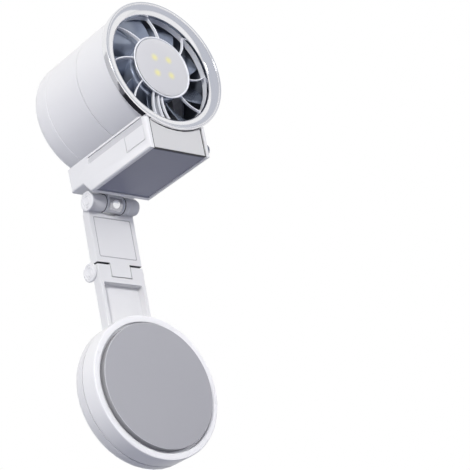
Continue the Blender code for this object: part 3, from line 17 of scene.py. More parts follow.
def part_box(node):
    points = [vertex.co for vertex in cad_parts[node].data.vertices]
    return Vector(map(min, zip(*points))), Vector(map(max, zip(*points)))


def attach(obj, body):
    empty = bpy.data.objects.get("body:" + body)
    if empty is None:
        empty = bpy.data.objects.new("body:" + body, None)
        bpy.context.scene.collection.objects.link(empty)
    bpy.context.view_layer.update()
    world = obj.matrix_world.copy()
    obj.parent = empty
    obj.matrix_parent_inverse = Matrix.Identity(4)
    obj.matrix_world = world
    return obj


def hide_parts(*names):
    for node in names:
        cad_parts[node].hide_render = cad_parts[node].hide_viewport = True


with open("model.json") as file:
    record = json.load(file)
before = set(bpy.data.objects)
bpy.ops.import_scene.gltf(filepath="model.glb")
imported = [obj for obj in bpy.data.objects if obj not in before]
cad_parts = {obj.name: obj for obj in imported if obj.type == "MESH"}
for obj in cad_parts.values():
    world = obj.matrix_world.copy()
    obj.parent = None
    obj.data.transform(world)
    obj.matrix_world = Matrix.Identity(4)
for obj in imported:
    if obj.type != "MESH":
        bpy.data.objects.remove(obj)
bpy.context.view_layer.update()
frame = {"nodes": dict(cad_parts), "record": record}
MM = 0.001
HAIR = 0.1 * MM

# %% [markdown]
# ## The measures that the pieces share
# Every new piece has to lie exactly where its solid lies, so the places are read from the boxes of
# the solids and never typed twice. The fan's own axis runs along Y through the middle of the
# bezel, and the disc's axis runs along Y through the origin.


# %% Read the places from the solids
def middle(node):
    low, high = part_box(node)
    return (low + high) / 2


def span(node):
    low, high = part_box(node)
    return high - low


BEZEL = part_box("front_bezel")
FAN = Vector((0, 0, middle("front_bezel").z))
LIP_Y = BEZEL[0].y
BEZEL_R = span("front_bezel").x / 2
BARREL_R = span("barrel_front").x / 2
DISC_R = span("disc_front_shell").x / 2
HEAD_AXIS = middle("head_hinge_pin")
MID_AXIS = middle("mid_hinge_pin")
print("fan axis height", round(FAN.z, 4), "lip at", round(LIP_Y, 4), "barrel radius", round(BARREL_R, 4))

# %% [markdown]
# ## The camera
# The picture was taken from below, in front and to the left, with a long lens, so parallel edges
# stay almost parallel. The camera's place and its three directions came from fitting the rim of
# the barrel, the rim of the disc and the corners of the arm, and are written here as one matrix.

# %% Place the camera
CAMERA_AT = Vector((-0.4533, -0.5267, -0.2216))
CAMERA_RIGHT = Vector((0.75354, -0.62905, -0.19097))
CAMERA_DOWN = Vector((0.11071, 0.40777, -0.90635))
FOCAL_PIXELS = 1700
FRAME_PIXELS = 470
SENSOR_WIDTH = 36

camera_data = bpy.data.cameras.new("camera")
camera_data.sensor_width = SENSOR_WIDTH
camera_data.lens = FOCAL_PIXELS * SENSOR_WIDTH / FRAME_PIXELS
camera_data.clip_start = 0.01
camera = bpy.data.objects.new("camera", camera_data)
bpy.context.scene.collection.objects.link(camera)
up = -CAMERA_DOWN
back = CAMERA_RIGHT.cross(up)
camera.matrix_world = Matrix.Translation(CAMERA_AT) @ Matrix((CAMERA_RIGHT, up, back)).transposed().to_4x4()
bpy.context.scene.camera = camera
print("lens", round(camera_data.lens, 1), "mm")

# %% [markdown]
# ## Surface effects as node groups
# Moulded plastic is never perfectly even: the tool leaves a fine grain, and handling leaves faint
# smears that change the gloss. Both effects are used by many finishes, so each one is a shader node
# group with named inputs, built once. A group hands back only values and normals, and the shader
# itself stays in each material.


# %% Helpers for node groups
def new_group(name, inputs, outputs):
    group = bpy.data.node_groups.new(name, "ShaderNodeTree")
    for label, kind, value in inputs:
        socket = group.interface.new_socket(name=label, in_out="INPUT", socket_type=kind)
        if value is not None:
            socket.default_value = value
    for label, kind in outputs:
        group.interface.new_socket(name=label, in_out="OUTPUT", socket_type=kind)
    return group, group.nodes.new("NodeGroupInput"), group.nodes.new("NodeGroupOutput")


def add_node(tree, kind, **settings):
    """Adds a node and sets its properties; keys that name a socket set that socket's value."""
    node = tree.nodes.new(kind)
    for key, value in settings.items():
        if hasattr(node, key):
            setattr(node, key, value)
        else:
            node.inputs[key].default_value = value
    return node


def join_sockets(tree, source, target):
    tree.links.new(source, target)


# A Mix node has sockets for every kind of data, and these are the numbers of its colour sockets.
MIX_A, MIX_B, MIX_RESULT = 6, 7, 2


# %% Fine grain and gloss smears of moulded plastic
moulded, g_in, g_out = new_group(
    "moulded_surface",
    [
        ("Grain Size", "NodeSocketFloat", 1800.0),
        ("Grain Depth", "NodeSocketFloat", 0.1),
        ("Roughness", "NodeSocketFloat", 0.3),
        ("Smear", "NodeSocketFloat", 0.08),
    ],
    [("Normal", "NodeSocketVector"), ("Roughness", "NodeSocketFloat")],
)
coords = add_node(moulded, "ShaderNodeTexCoord")
grain = add_node(moulded, "ShaderNodeTexNoise", Detail=3.0)
join_sockets(moulded, coords.outputs["Object"], grain.inputs["Vector"])
join_sockets(moulded, g_in.outputs["Grain Size"], grain.inputs["Scale"])
bump = add_node(moulded, "ShaderNodeBump", Distance=0.1 * MM)
join_sockets(moulded, grain.outputs["Fac"], bump.inputs["Height"])
join_sockets(moulded, g_in.outputs["Grain Depth"], bump.inputs["Strength"])
join_sockets(moulded, bump.outputs["Normal"], g_out.inputs["Normal"])
smears = add_node(moulded, "ShaderNodeTexNoise", Scale=70.0, Detail=5.0, Distortion=0.6)
join_sockets(moulded, coords.outputs["Object"], smears.inputs["Vector"])
centred = add_node(moulded, "ShaderNodeMath", operation="SUBTRACT")
centred.inputs[1].default_value = 0.5
join_sockets(moulded, smears.outputs["Fac"], centred.inputs[0])
scaled = add_node(moulded, "ShaderNodeMath", operation="MULTIPLY_ADD")
join_sockets(moulded, centred.outputs[0], scaled.inputs[0])
join_sockets(moulded, g_in.outputs["Smear"], scaled.inputs[1])
join_sockets(moulded, g_in.outputs["Roughness"], scaled.inputs[2])
join_sockets(moulded, scaled.outputs[0], g_out.inputs["Roughness"])
print("group", moulded.name, "with", len(moulded.nodes), "nodes")

# %% [markdown]
# A colour that changes a little over a large part looks like real resin, which never mixes
# perfectly. The second group blends two close colours with a slow noise.

# %% Slow change of tint
tint, t_in, t_out = new_group(
    "slow_tint",
    [
        ("Colour A", "NodeSocketColor", (0.8, 0.8, 0.8, 1)),
        ("Colour B", "NodeSocketColor", (0.7, 0.7, 0.7, 1)),
        ("Scale", "NodeSocketFloat", 25.0),
    ],
    [("Colour", "NodeSocketColor")],
)
coords = add_node(tint, "ShaderNodeTexCoord")
cloud = add_node(tint, "ShaderNodeTexNoise", Detail=2.0)
join_sockets(tint, coords.outputs["Object"], cloud.inputs["Vector"])
join_sockets(tint, t_in.outputs["Scale"], cloud.inputs["Scale"])
blend = add_node(tint, "ShaderNodeMix", data_type="RGBA")
join_sockets(tint, cloud.outputs["Fac"], blend.inputs["Factor"])
join_sockets(tint, t_in.outputs["Colour A"], blend.inputs[MIX_A])
join_sockets(tint, t_in.outputs["Colour B"], blend.inputs[MIX_B])
join_sockets(tint, blend.outputs[MIX_RESULT], t_out.inputs["Colour"])
print("group", tint.name, "with", len(tint.nodes), "nodes")

# %% [markdown]
# ## The finishes
# One helper builds every opaque finish from the two groups: two close tints, a roughness with its
# smears, a grain, and optionally a clear coat or metal. The values follow the real materials: glossy
# white shells, a satin arm, a matte slate underside, grey rubber, chrome and steel. A few finishes
# are painted light and shade instead: the dark insides and gaps, a darker strip, a brighter rim and
# a lighter pad edge.


# %% Build a finish
COAT_ROUGHNESS = 0.08
PLASTIC_GRAIN = 1800.0
RUBBER_GRAIN = 2600.0


def finish(
    name, colour_a, colour_b, roughness, smear=0.08, grain=0.1, size=PLASTIC_GRAIN, metal=0.0, coat=0.0
):
    material = bpy.data.materials.new(name)
    material.use_nodes = True
    tree = material.node_tree
    shader = tree.nodes["Principled BSDF"]
    shader.inputs["Metallic"].default_value = metal
    shader.inputs["Coat Weight"].default_value = coat
    shader.inputs["Coat Roughness"].default_value = COAT_ROUGHNESS
    surface = add_node(tree, "ShaderNodeGroup", node_tree=moulded)
    settings = {"Grain Size": size, "Grain Depth": grain, "Roughness": roughness, "Smear": smear}
    for label, value in settings.items():
        surface.inputs[label].default_value = value
    colour = add_node(tree, "ShaderNodeGroup", node_tree=tint)
    colour.inputs["Colour A"].default_value = (*colour_a, 1)
    colour.inputs["Colour B"].default_value = (*colour_b, 1)
    join_sockets(tree, colour.outputs["Colour"], shader.inputs["Base Color"])
    join_sockets(tree, surface.outputs["Roughness"], shader.inputs["Roughness"])
    join_sockets(tree, surface.outputs["Normal"], shader.inputs["Normal"])
    return material


WHITE = finish("glossy_white_shell", (0.79, 0.79, 0.80), (0.76, 0.76, 0.78), 0.30, coat=0.25)
ARM = finish("satin_arm", (0.74, 0.74, 0.75), (0.72, 0.72, 0.735), 0.42, grain=0.2)
PLATE = finish("grey_front_plate", (0.63, 0.63, 0.63), (0.60, 0.60, 0.61), 0.38, grain=0.15)
SLATE = finish("slate_panel", (0.205, 0.215, 0.30), (0.23, 0.24, 0.325), 0.36, smear=0.15, grain=0.2)
# painted shade: a near black for the shaded insides of the barrel and the bezel
DUCT_SHADE = finish("painted_duct_shade", (0.085, 0.095, 0.12), (0.10, 0.11, 0.135), 0.40)
# painted shade: a near black that stands for the dark gaps round the front plate, the arm's shoulders and the
# lug
GAP_SHADE = finish("painted_gap_shade", (0.045, 0.045, 0.05), (0.055, 0.055, 0.06), 0.6, grain=0.2)
# painted shade: a mid grey for the hair line in the gap round the lid
HAIRLINE_SHADE = finish("painted_hairline_shade", (0.40, 0.40, 0.42), (0.43, 0.43, 0.45), 0.6, grain=0.2)
LUG_STEEL = finish("lug_steel", (0.48, 0.48, 0.51), (0.45, 0.45, 0.48), 0.26, metal=0.9)
# painted light: a brighter copy of the white for the front-facing rim of the disc
RIM_LIGHT = finish("painted_light_rim", (0.89, 0.89, 0.90), (0.86, 0.86, 0.88), 0.28, coat=0.3)
REAR_CASE = finish("satin_rear_case", (0.72, 0.72, 0.73), (0.69, 0.69, 0.71), 0.34, coat=0.2)
# painted shade: a darker white for the strip shaded by the barrel above it
SHADE_BAND = finish("painted_shade_band", (0.62, 0.62, 0.64), (0.60, 0.60, 0.62), 0.34, coat=0.2)
# painted shade: a dark grey for the shaded web at the back of the wire channel
CHANNEL_SHADE = finish("painted_shade_web", (0.30, 0.31, 0.34), (0.34, 0.35, 0.38), 0.4)
# painted shade: a darker rubber for the pad's side in the gap round it
PAD_SIDE_SHADE = finish("painted_shade_pad_side", (0.27, 0.27, 0.285), (0.29, 0.29, 0.30), 0.6, grain=0.2, size=RUBBER_GRAIN)
# painted highlight: a lighter rubber for the pad's rounded edge
PAD_EDGE_HIGHLIGHT = finish("painted_highlight_edge", (0.58, 0.58, 0.61), (0.55, 0.55, 0.58), 0.45, grain=0.2, size=RUBBER_GRAIN)
BUTTON = finish("dark_button", (0.10, 0.11, 0.17), (0.12, 0.13, 0.19), 0.36, smear=0.1, grain=0.2)
RUBBER = finish("grey_rubber", (0.37, 0.37, 0.40), (0.39, 0.39, 0.415), 0.55, 0.1, 0.3, RUBBER_GRAIN)
CHROME = finish("chrome", (0.84, 0.84, 0.86), (0.80, 0.80, 0.82), 0.11, smear=0.05, grain=0.0, metal=1.0)
GRILLE = finish("white_grille", (0.82, 0.83, 0.87), (0.78, 0.80, 0.85), 0.22, grain=0.05, coat=0.4)
BLADES = finish("slate_blades", (0.26, 0.30, 0.38), (0.31, 0.35, 0.44), 0.21, grain=0.0, metal=0.6, coat=0.4)
STEEL = finish("turned_steel", (0.56, 0.56, 0.58), (0.50, 0.50, 0.53), 0.28, metal=1.0)
MAGNET = finish("nickelled_magnet", (0.36, 0.35, 0.35), (0.32, 0.31, 0.32), 0.25, metal=1.0)
BOARD = finish("green_board", (0.03, 0.12, 0.07), (0.04, 0.15, 0.08), 0.45)
FILM = finish("battery_film", (0.30, 0.32, 0.36), (0.27, 0.29, 0.33), 0.35, metal=0.3)
COPPER = finish("copper_parts", (0.62, 0.30, 0.16), (0.55, 0.27, 0.15), 0.32, metal=1.0)
CHIP = finish("yellow_chip", (0.86, 0.74, 0.32), (0.90, 0.80, 0.42), 0.35)
print("finishes:", len(bpy.data.materials))

# %% [markdown]
# The lamp's cover is a frosted dome. Behind it the four light chips show only as soft pale yellow
# spots. Real scattering would need many samples to look this soft, so the spots are drawn in the
# cover's own colour: the distance from each point to the nearest chip, softened by a ramp. Folding
# the coordinates with an absolute value makes one spot stand for all four.

# %% Frosted cover with four soft spots
SPOT_X = 3.9 * MM
SPOT_Z = 3.9 * MM
SPOT_CORE = 0.3 * MM
SPOT_EDGE = 2.5 * MM
SPOT_COLOUR = (0.80, 0.76, 0.37, 1)

FROST = finish("frosted_cover", (0.64, 0.64, 0.655), (0.60, 0.60, 0.625), 0.26, 0.06, grain=0.05, coat=0.5)
tree = FROST.node_tree
shader = tree.nodes["Principled BSDF"]
coords = add_node(tree, "ShaderNodeTexCoord")
centred = add_node(tree, "ShaderNodeMapping")
centred.inputs["Location"].default_value = (0, 0, -FAN.z)
join_sockets(tree, coords.outputs["Object"], centred.inputs["Vector"])
folded = add_node(tree, "ShaderNodeVectorMath", operation="ABSOLUTE")
join_sockets(tree, centred.outputs["Vector"], folded.inputs[0])
flat = add_node(tree, "ShaderNodeVectorMath", operation="MULTIPLY")
flat.inputs[1].default_value = (1, 0, 1)
join_sockets(tree, folded.outputs["Vector"], flat.inputs[0])
reach = add_node(tree, "ShaderNodeVectorMath", operation="DISTANCE")
reach.inputs[1].default_value = (SPOT_X, 0, SPOT_Z)
join_sockets(tree, flat.outputs["Vector"], reach.inputs[0])
spot = add_node(tree, "ShaderNodeMapRange", interpolation_type="SMOOTHSTEP")
spot.inputs["From Min"].default_value = SPOT_EDGE
spot.inputs["From Max"].default_value = SPOT_CORE
join_sockets(tree, reach.outputs["Value"], spot.inputs["Value"])
glow = add_node(tree, "ShaderNodeMix", data_type="RGBA")
glow.inputs[MIX_B].default_value = SPOT_COLOUR
join_sockets(tree, spot.outputs["Result"], glow.inputs["Factor"])
join_sockets(tree, shader.inputs["Base Color"].links[0].from_socket, glow.inputs[MIX_A])
join_sockets(tree, glow.outputs[MIX_RESULT], shader.inputs["Base Color"])
print("frosted cover has", len(tree.nodes), "nodes")

# %% [markdown]
# ## Helpers for the pieces
# Most of this fan is round, so most pieces are a profile spun about an axis. The profile is a list
# of (radius, distance along the axis) points. Sharp corners would catch no light, so each finished
# piece gets a small Bevel, limited by angle so that the smooth curves stay as they are.


# %% Turn a profile and finish a piece
SPIN_WELD = 0.001 * MM


def facing(centre, direction):
    """The matrix that takes the Z axis to a direction and the origin to a centre."""
    turn = Vector((0, 0, 1)).rotation_difference(Vector(direction)).to_matrix().to_4x4()
    return Matrix.Translation(centre) @ turn


def spin_profile(bm, profile, place, steps=128, closed=True):
    """Spins a profile of (radius, along) points about Z, then moves it to its place."""
    verts = [bm.verts.new((radius, 0, along)) for radius, along in profile]
    edges = [bm.edges.new(pair) for pair in zip(verts, verts[1:])]
    if closed:
        edges.append(bm.edges.new((verts[-1], verts[0])))
    before = set(bm.verts)
    bmesh.ops.spin(
        bm, geom=verts + edges, cent=(0, 0, 0), axis=(0, 0, 1), angle=2 * math.pi, steps=steps, use_merge=True
    )
    made = [v for v in bm.verts if v not in before] + [v for v in verts if v.is_valid]
    bmesh.ops.transform(bm, matrix=place, verts=made)
    bmesh.ops.remove_doubles(bm, verts=bm.verts, dist=SPIN_WELD)
    bmesh.ops.recalc_face_normals(bm, faces=bm.faces)


def add_piece(name, bm, body, material, nodes=(), bevel=0.0, segments=3, angle=30):
    """Makes a bmesh an object that rides on a body, with rounded edges and one finish."""
    mesh = bpy.data.meshes.new(name)
    bm.to_mesh(mesh)
    bm.free()
    mesh.shade_smooth()
    mesh.set_sharp_from_angle(angle=math.radians(angle))
    mesh.materials.append(material)
    piece = bpy.data.objects.new(name, mesh)
    bpy.context.scene.collection.objects.link(piece)
    if bevel:
        rounding = piece.modifiers.new("edges", "BEVEL")
        rounding.width = bevel
        rounding.segments = segments
        rounding.limit_method = "ANGLE"
        rounding.angle_limit = math.radians(angle)
        rounding.harden_normals = True
    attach(piece, body)
    if nodes:
        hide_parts(*nodes)
    print(name, "has", len(mesh.polygons), "faces")
    return piece


# A face whose normal has at least this share along an axis counts as facing that way.
FACES_IT = 0.9


def paint(piece, material, test):
    """Gives a second finish to the faces whose centre and normal pass a test."""
    piece.data.materials.append(material)
    for face in piece.data.polygons:
        if test(face.center, face.normal):
            face.material_index = len(piece.data.materials) - 1


def spun_piece(name, profile, place, body, slot, material, nodes=(), bevel=0.0, steps=128, closed=True):
    bm = bmesh.new()
    spin_profile(bm, profile, place, steps, closed)
    return add_piece(name, bm, body, material, nodes, bevel)


FRONT = facing(FAN, (0, -1, 0))
print("profiles of the head turn about", tuple(round(value, 4) for value in FAN), "and run forward")

# %% [markdown]
# Pieces cut by many Booleans already have the right form in their solids. For these a copy of the
# solid is enough: its loose triangles are merged, flat areas become single faces again, and a Bevel
# gives the edges the radius that a mould leaves.


# %% Copy a solid with rounded edges
COPY_WELD = 0.002 * MM
FLAT_ANGLE = math.radians(1)


def softened(node, body, material, bevel=0.25 * MM, angle=32, name=None):
    bm = bmesh.new()
    bm.from_mesh(frame["nodes"][node].data)
    bmesh.ops.remove_doubles(bm, verts=bm.verts, dist=COPY_WELD)
    bmesh.ops.dissolve_limit(
        bm, angle_limit=FLAT_ANGLE, verts=bm.verts, edges=bm.edges, use_dissolve_boundaries=False
    )
    return add_piece(name or f"{node}_shape", bm, body, material, (node,), bevel, angle=angle)


def arc(centre, radius, start, end, steps):
    """Points on an arc, ends included, for a profile; angles are in degrees."""
    points = []
    for i in range(steps + 1):
        angle = math.radians(start + (end - start) * i / steps)
        points.append((centre[0] + radius * math.cos(angle), centre[1] + radius * math.sin(angle)))
    return points


# %% [markdown]
# ## The barrel
# The barrel is two thin white shells that meet in a fine parting line. The front one is a plain
# tube. The rear one curves in at its back round the intake. A second fine line near the back shows
# where the intake's cap is fitted. The inside of both is painted dark, as painted shade inside the
# duct. Two cylinders with a Solidify modifier would give plain walls, but a spun profile also holds
# the lap joint, the fine line and the rounded back.

# %% Barrel shells
SEAM = 0.15 * MM
WALL = 1.8 * MM
shell_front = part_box("barrel_front")
shell_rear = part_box("barrel_rear")
seam_y = shell_rear[0].y
profile = [
    (BARREL_R - WALL, -shell_front[0].y),
    (BARREL_R, -shell_front[0].y),
    (BARREL_R, -seam_y + 2 * SEAM),
    (BARREL_R - WALL / 2 - SEAM, -seam_y + 2 * SEAM),
    (BARREL_R - WALL / 2 - SEAM, -shell_front[1].y),
    (BARREL_R - WALL, -shell_front[1].y),
]
dress = ("fan_head", "white_shell", WHITE)
shell = spun_piece("front_shell", profile, FRONT, *dress, ("barrel_front",), 0.2 * MM)


def from_axis(point):
    """The distance of a point from the fan's axis."""
    return math.hypot(point.x, point.z - FAN.z)


bore_r = BARREL_R - WALL + HAIR
# painted shade: the inside wall of the white shell is coloured dark
paint(shell, DUCT_SHADE, lambda centre, normal: from_axis(centre) < bore_r)

CAP_LINE = 10.8 * MM
BACK_ROUND = 4.2 * MM
INTAKE_R = 24.2 * MM
BACK_WALL = 1.6 * MM
INNER_ROUND = 2.6 * MM
LAP = 2 * MM
LINE_DEPTH = 0.25 * MM
LINE_HALF = 0.14 * MM
back_y = shell_rear[1].y
line = back_y - CAP_LINE
profile = [(BARREL_R - WALL / 2 + SEAM, -seam_y), (BARREL_R, -seam_y), (BARREL_R, -line + LINE_HALF)]
profile += [(BARREL_R - LINE_DEPTH, -line + LINE_HALF), (BARREL_R - LINE_DEPTH, -line - LINE_HALF)]
profile += [(BARREL_R, -line - LINE_HALF)]
profile += arc((BARREL_R - BACK_ROUND, -back_y + BACK_ROUND), BACK_ROUND, 0, -90, 12)
inner_back = -back_y + BACK_WALL
profile += [(INTAKE_R, -back_y), (INTAKE_R, inner_back)]
profile += arc((BARREL_R - WALL - INNER_ROUND, inner_back + INNER_ROUND), INNER_ROUND, -90, 0, 6)
profile += [(BARREL_R - WALL, -seam_y - LAP), (BARREL_R - WALL / 2 + SEAM, -seam_y - LAP)]
shell = spun_piece("rear_shell", profile, FRONT, *dress, ("barrel_rear",), 0.12 * MM)
inside = inner_back + HAIR
# painted shade: the inside wall of the white shell is coloured dark
paint(shell, DUCT_SHADE, lambda centre, normal: from_axis(centre) < bore_r and -centre.y > inside)

# %% [markdown]
# ## The chrome bezel
# The bezel is a bright ring with a rolled lip. Inside the lip it sweeps down to the grille like the
# bell of a horn, and this curve makes the white and dark crescents in its reflections. It is one
# closed profile: the bell is a quarter ellipse, and the lip is a half round.

# %% Bezel
OPENING_R = 26.2 * MM
LIP_WIDTH = 1.3 * MM
BELL_DEPTH = 3.1 * MM
BELL_STEPS = 16
SHEET = 0.9 * MM
SPIGOT_STEP = 1.4 * MM
FIT = 0.3 * MM
lip = -LIP_Y
mouth = BEZEL_R - LIP_WIDTH
band_back = -shell_front[0].y + FIT
spigot_back = -BEZEL[1].y
profile = []
for i in range(BELL_STEPS + 1):
    angle = math.radians(90) * i / BELL_STEPS
    radius = OPENING_R + (mouth - OPENING_R) * (1 - math.cos(angle))
    profile.append((radius, lip - BELL_DEPTH + (BELL_DEPTH - LIP_WIDTH / 2) * math.sin(angle)))
profile += arc((BEZEL_R - LIP_WIDTH / 2, lip - LIP_WIDTH / 2), LIP_WIDTH / 2, 168, 0, 10)
sheet_back = lip - BELL_DEPTH - SHEET
spigot_r = BARREL_R - WALL - FIT
profile += [(BEZEL_R, band_back), (spigot_r, band_back), (spigot_r, spigot_back)]
profile += [(OPENING_R + SPIGOT_STEP, spigot_back), (OPENING_R + SPIGOT_STEP, sheet_back)]
profile += [(OPENING_R, sheet_back)]
dress = ("fan_head", "chrome", CHROME)
bezel = spun_piece("chrome_ring", profile, FRONT, *dress, ("front_bezel",), 0.15 * MM, 160)
dark_r, dark_from = OPENING_R + SPIGOT_STEP + HAIR, sheet_back - HAIR
# painted shade: the back of the chrome bezel inside the duct is coloured dark
paint(bezel, DUCT_SHADE, lambda centre, normal: from_axis(centre) < dark_r and -centre.y < dark_from)

# %% [markdown]
# ## The guard in front of the blades
# The guard is one moulding: a ring, a hub cup and eight spokes that all sweep the same way. Each
# spoke widens where it meets the ring. Beside the lowest spoke two ribs with a web behind them make
# a channel that hides the lamp's wires. A curve with a round bevel could follow a spoke's path, but
# bridged sections also let it widen and keep its flat back.


# %% Loft helper
def loft(bm, sections):
    """Bridges closed loops of points, one after another, and closes both ends."""
    loops = []
    for section in sections:
        verts = [bm.verts.new(point) for point in section]
        loops.append([bm.edges.new((verts[i - 1], verts[i])) for i in range(len(verts))])
    for first, second in zip(loops, loops[1:]):
        bmesh.ops.bridge_loops(bm, edges=first + second)
    for loop in (loops[0], loops[-1]):
        bmesh.ops.contextual_create(bm, geom=loop)


def on_fan(radius, angle, ahead):
    return FAN + Vector((radius * math.cos(angle), -ahead, radius * math.sin(angle)))


# %% Guard
HUB_R = 15.4 * MM
HUB_BACK_R = 13.0 * MM
HUB_WALL = 1.0 * MM
CUP_DEPTH = 3.5 * MM
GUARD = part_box("front_grille")
hub_front = -GUARD[0].y
hub_back = hub_front - CUP_DEPTH
GUARD_RING_WIDTH = 1.1 * MM
GUARD_RING_SET = 1.2 * MM
GUARD_RING_DEEP = 2.6 * MM
ring_front = lip - BELL_DEPTH - GUARD_RING_SET
ring_back = ring_front - GUARD_RING_DEEP
SPOKES = 8
SPOKE_PHASE = math.radians(34.5)
SPOKE_SWEEP = math.radians(14)
SPOKE_BOW = math.radians(-1.5)
SPOKE_THICK = 0.7 * MM
SPOKE_DEEP = 1.3 * MM
SPOKE_ROOT_SET = 0.9 * MM
SPOKE_END_SET = 0.2 * MM
SPOKE_ROUND = 0.35 * MM
ROUND_SHARE = 0.4
CORNER_SHARE = 0.3
OUTER_FLARE, OUTER_SHARE = 1.1, 0.2
INNER_FLARE, INNER_SHARE = 0.6, 0.16
STATIONS = 14
CHANNEL_NEAR = math.radians(7)
CHANNEL_FAR = math.radians(16.5)
CHANNEL_SPOKE = 5
WEB_THICK = 0.2 * MM
WEB_DEEP = 0.7 * MM
WEB_SET = 1.5 * MM
CUP_FLOOR = 2.7 * MM
CUP_CORNER = 0.35 * MM
CUP_SHOULDER = 0.6 * MM
CUP_LIP_ROUND = HUB_WALL / 2 - 0.05 * MM


def cup_radius(ahead):
    """The outer radius of the tapered hub cup at a distance in front of the hinge plane."""
    return HUB_R - (HUB_R - HUB_BACK_R) * (hub_front - ahead) / CUP_DEPTH


def spoke(bm, phase, thick=SPOKE_THICK, deep=SPOKE_DEEP, set_back=0.0, spread=0.0):
    """One swept spoke, or with a spread the thin web between the two ribs of the wire channel."""
    outer = OPENING_R + GUARD_RING_WIDTH / 2
    root, end = hub_front - SPOKE_ROOT_SET - set_back, ring_front - SPOKE_END_SET - set_back
    round_in = min(SPOKE_ROUND, thick * ROUND_SHARE)
    corner = round_in * CORNER_SHARE
    sections = []
    for i in range(STATIONS + 1):
        share = i / STATIONS
        angle = phase + SPOKE_SWEEP * share + SPOKE_BOW * math.sin(math.pi * share)
        flare = 1 + OUTER_FLARE * max(0, (share - 1 + OUTER_SHARE) / OUTER_SHARE) ** 2
        flare += INNER_FLARE * max(0, (INNER_SHARE - share) / INNER_SHARE) ** 2
        front = root + (end - root) * share

        def point(side, step_in, down):
            """A point of the section: side -1 or 1, moved in from the side and down from the front."""
            inner = cup_radius(root - down) - HUB_WALL / 2
            radius = inner + (outer - inner) * share
            half = (thick * flare / 2 - step_in) / radius
            turn = side * (half + spread / 2) - spread / 2
            return on_fan(radius, angle + turn, front - down)

        down_left = ((0, deep), (0, round_in), (corner, corner), (round_in, 0))
        section = [point(-1, *place) for place in down_left]
        sections.append(section + [point(1, *place) for place in reversed(down_left)])
    loft(bm, sections)


bm = bmesh.new()
for k in range(SPOKES):
    spoke(bm, SPOKE_PHASE + 2 * math.pi * k / SPOKES)
channel = SPOKE_PHASE + 2 * math.pi * CHANNEL_SPOKE / SPOKES
spoke(bm, channel - CHANNEL_NEAR)
spoke(bm, channel - CHANNEL_FAR)
ring_out = OPENING_R + GUARD_RING_WIDTH
ring = [(OPENING_R, ring_front), (ring_out, ring_front), (ring_out, ring_back)]
spin_profile(bm, ring + [(OPENING_R, ring_back)], FRONT)
cup_floor, shoulder = hub_front - CUP_FLOOR, hub_front - CUP_SHOULDER
cup = [(0, cup_floor), (cup_radius(cup_floor) - HUB_WALL, cup_floor)]
cup += [(HUB_R - HUB_WALL, hub_front - CUP_CORNER)]
cup += arc((HUB_R - HUB_WALL / 2, hub_front - CUP_LIP_ROUND), CUP_LIP_ROUND, 160, 20, 6)
cup += [(cup_radius(shoulder), shoulder), (HUB_BACK_R, hub_back), (0, hub_back)]
spin_profile(bm, cup, FRONT, closed=False)
add_piece("guard", bm, "fan_head", GRILLE, ("front_grille",))

bm = bmesh.new()
spread = CHANNEL_FAR - CHANNEL_NEAR
spoke(bm, channel - CHANNEL_NEAR, WEB_THICK, WEB_DEEP, WEB_SET, spread)
# painted shade: the web between the ribs is coloured dark as the shade of the channel
add_piece("channel_web", bm, "fan_head", CHANNEL_SHADE)

# %% [markdown]
# The lamp's cover closes the cup. Its front is a low dome that drops faster at the rim, which the
# eighth power does, and its back is hollow over the chips.

# %% Lamp cover
COVER_GAP = 0.2 * MM
COVER_R = HUB_R - HUB_WALL - COVER_GAP
CROWN = 0.6 * MM
RIM_DROP = 0.25 * MM
EDGE = 0.8 * MM
WINDOW_R = 9.8 * MM
SKIN = 0.3 * MM
DOME_STEPS = 12
profile = []
for i in range(DOME_STEPS + 1):
    share = i / DOME_STEPS
    profile.append((COVER_R * share, hub_front + CROWN * (1 - share * share) - RIM_DROP * share**8))
edge_back, window_back = hub_front - EDGE, hub_front - SKIN
profile += [(cup_radius(edge_back) - HUB_WALL - FIT, edge_back), (WINDOW_R, edge_back)]
profile += [(WINDOW_R, window_back), (0, window_back)]
spun_piece("lamp_cover", profile, FRONT, "fan_head", "lens", FROST, ("lamp_lens",), closed=False)

# %% [markdown]
# ## The impeller
# The wheel has a rounded hub and nine twisted blades of dark glossy plastic. Seen through the
# guard, the blades show as curved bands of reflections, so each one needs a smooth twist and a
# little camber. A Simple Deform modifier would twist a flat plate evenly. Closed strips, bridged
# from the hub to the tip, let every radius have its own pitch, chord and thickness.

# %% Impeller
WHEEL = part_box("impeller")
HUB = 14.2 * MM
HUB_ROUND = 1.6 * MM
HUB_SHEET = 1.4 * MM
BOSS_R = 2.6 * MM
BOSS_LENGTH = 5.0 * MM
BORE_R = 1.3 * MM
wheel_front, wheel_back = -WHEEL[0].y, -WHEEL[1].y
BLADES_COUNT = 9
BLADE_STATIONS = 14
BLADE_POINTS = 12
ROOT_CHORD, TIP_CHORD = 14.5 * MM, 18.5 * MM
ROOT_PITCH, TIP_PITCH = math.radians(58), math.radians(36)
BLADE_SWEEP = math.radians(16)
CAMBER = 0.11
BLADE_THICK = 1.1 * MM
TIP_THICK = 0.8 * MM
TIP_R = 27.6 * MM
ROOT_SINK = 0.7 * MM
FRONT_SET = 1.2 * MM
EDGE_SHARE = 0.25


